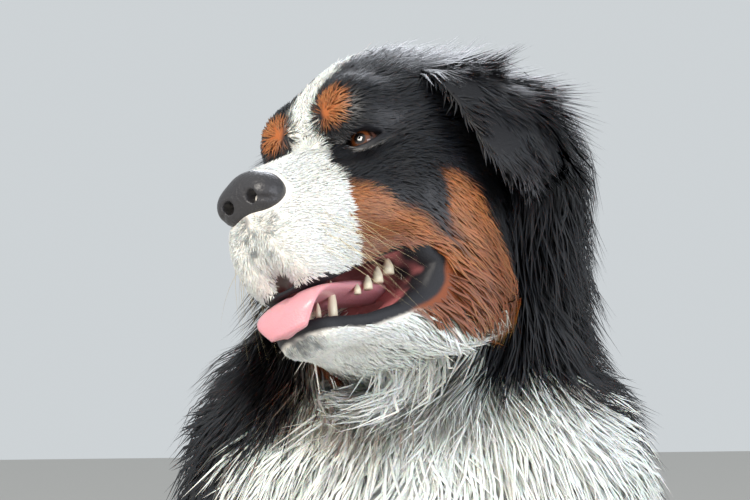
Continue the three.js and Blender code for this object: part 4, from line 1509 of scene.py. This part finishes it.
    @staticmethod
    def weigh_body(p: np.ndarray) -> np.ndarray:
        """Where the body's coat grows: thicker in front, and nowhere inside the head or feet.

        Args:
            p: Points of the dog's frame.
        Returns:
            One weight a point.
        """
        inside_head = WHOLE_HEAD(to_head(p)) > 2
        feet = nearest(*FEET)(p) > 1
        front = 1 + 3.2 * smooth(-p[:, 1], -60, 0) * smooth(p[:, 2], 330, 420)
        front = front + 1.2 * smooth(p[:, 2], 560, 640)
        return (inside_head & feet & (p[:, 2] > 6)) * front

    def paws(self) -> None:
        """Short hair of the feet."""
        whole = reduce(Surface.joined, self.dog.paws)
        form = nearest(*FEET, FLESH)

        def weigh(p: np.ndarray) -> np.ndarray:
            """Everywhere but on the floor and inside the legs."""
            return 1.0 * ((p[:, 2] > 5) & (BODY(p) > -3))

        root = CoatMaker.scatter(whole, int(self.paw_roots * self.share), weigh, seed=51)
        tufts = self.tufts(root, outward(form, root), (13, 2.3, 3.2), MARKINGS.body(root), seed=52)
        lie = one_way(np.array([0, -0.85, -0.45]))
        comb = Comb(seed=53, stations=2, swing=0.14, clump=0.25, clump_size=10)
        self.maker.pieces("coat_paws", tufts, lie, form, comb, ((0, -110, 30), (0, 340, 30)))


@dataclass
class Studio:
    """Floor, soft lights and the camera of the photograph."""

    lens: float = 118.5
    range_mm: float = 1800.0
    view_turn: float = -8.0
    left_mm: float = 7.1
    down_mm: float = 24.4
    floor_half: float = 6.0
    floor_drop: float = 0.0005

    def floor(self) -> None:
        """A plain pale floor."""
        r = self.floor_half
        points = np.array([(-r, -r, 0), (r, -r, 0), (r, r, 0), (-r, r, 0)], np.float32) * 1000
        surface = Surface(points, np.array([(0, 1, 2), (0, 2, 3)]))
        made = mesh_object("floor", surface, np.zeros(3), PALE_FLOOR.make(), smooth_faces=False)
        made.location.z = -self.floor_drop

    def light(self, name: str, at: Place, size: float, power: float, aim: Place, code: str) -> None:
        """A square soft light aimed at a point.

        Args:
            name: Its name.
            at: Its place, in metres.
            size: Its side, in metres.
            power: Its power, in watts.
            aim: The point that it faces.
            code: Its colour, as sRGB.
        """
        data = bpy.data.lights.new(name, "AREA")
        data.size, data.energy = size, power
        data.color = linear(code)
        made = bpy.data.objects.new(name, data)
        made.location = at
        made.rotation_euler = (Vector(aim) - Vector(at)).to_track_quat("-Z", "Y").to_euler()
        bpy.context.scene.collection.objects.link(made)

    def build(self, dog: Dog) -> None:
        """Places floor, lights and camera.

        Args:
            dog: The dog, whose head the camera looks past.
        """
        self.floor()
        aim = (0, -0.15, 0.5)
        self.light("key", (-1.7, -2.3, 2.5), 1.5, 120, aim, "#fff8ee")
        self.light("fill", (2.2, -2.2, 1.1), 2.2, 60, aim, "#f3f6ff")
        self.light("rim", (0.6, 2.4, 2.3), 1.6, 70, aim, "#f2f6ff")
        world = bpy.data.worlds.new("studio")
        world.use_nodes = True
        back = world.node_tree.nodes["Background"]
        back.inputs["Color"].default_value = (*linear("#c9ced1"), 1)
        back.inputs["Strength"].default_value = 1.05
        bpy.context.scene.world = world
        turn = math.radians(self.view_turn)
        behind = np.array([math.sin(turn), -math.cos(turn), 0])
        right = np.array([math.cos(turn), math.sin(turn), 0])
        at = np.array(HEAD_PLACE) + dog.offset - self.left_mm * right
        at = at + self.range_mm * behind - (0, 0, self.down_mm)
        data = bpy.data.cameras.new("camera")
        data.lens = self.lens
        camera = bpy.data.objects.new("camera", data)
        camera.location = at / 1000
        camera.rotation_euler = Vector(-behind).to_track_quat("-Z", "Y").to_euler()
        bpy.context.scene.collection.objects.link(camera)
        bpy.context.scene.camera = camera
        bpy.context.scene.view_settings.view_transform = "Standard"


def main() -> None:
    """Builds the dog and its stage in order."""
    logging.basicConfig(level=logging.INFO, format="%(message)s")
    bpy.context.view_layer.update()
    dog = Dog()
    LOG.info("forms meshed")
    dog.skin()
    dog.eyes()
    dog.nose()
    dog.tongue()
    dog.teeth()
    dog.claws()
    dog.whiskers()
    coat = Coat(dog, 1.0)
    coat.face()
    coat.ears()
    coat.body()
    coat.paws()
    Studio().build(dog)
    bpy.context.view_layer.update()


if __name__ == "__main__":
    main()
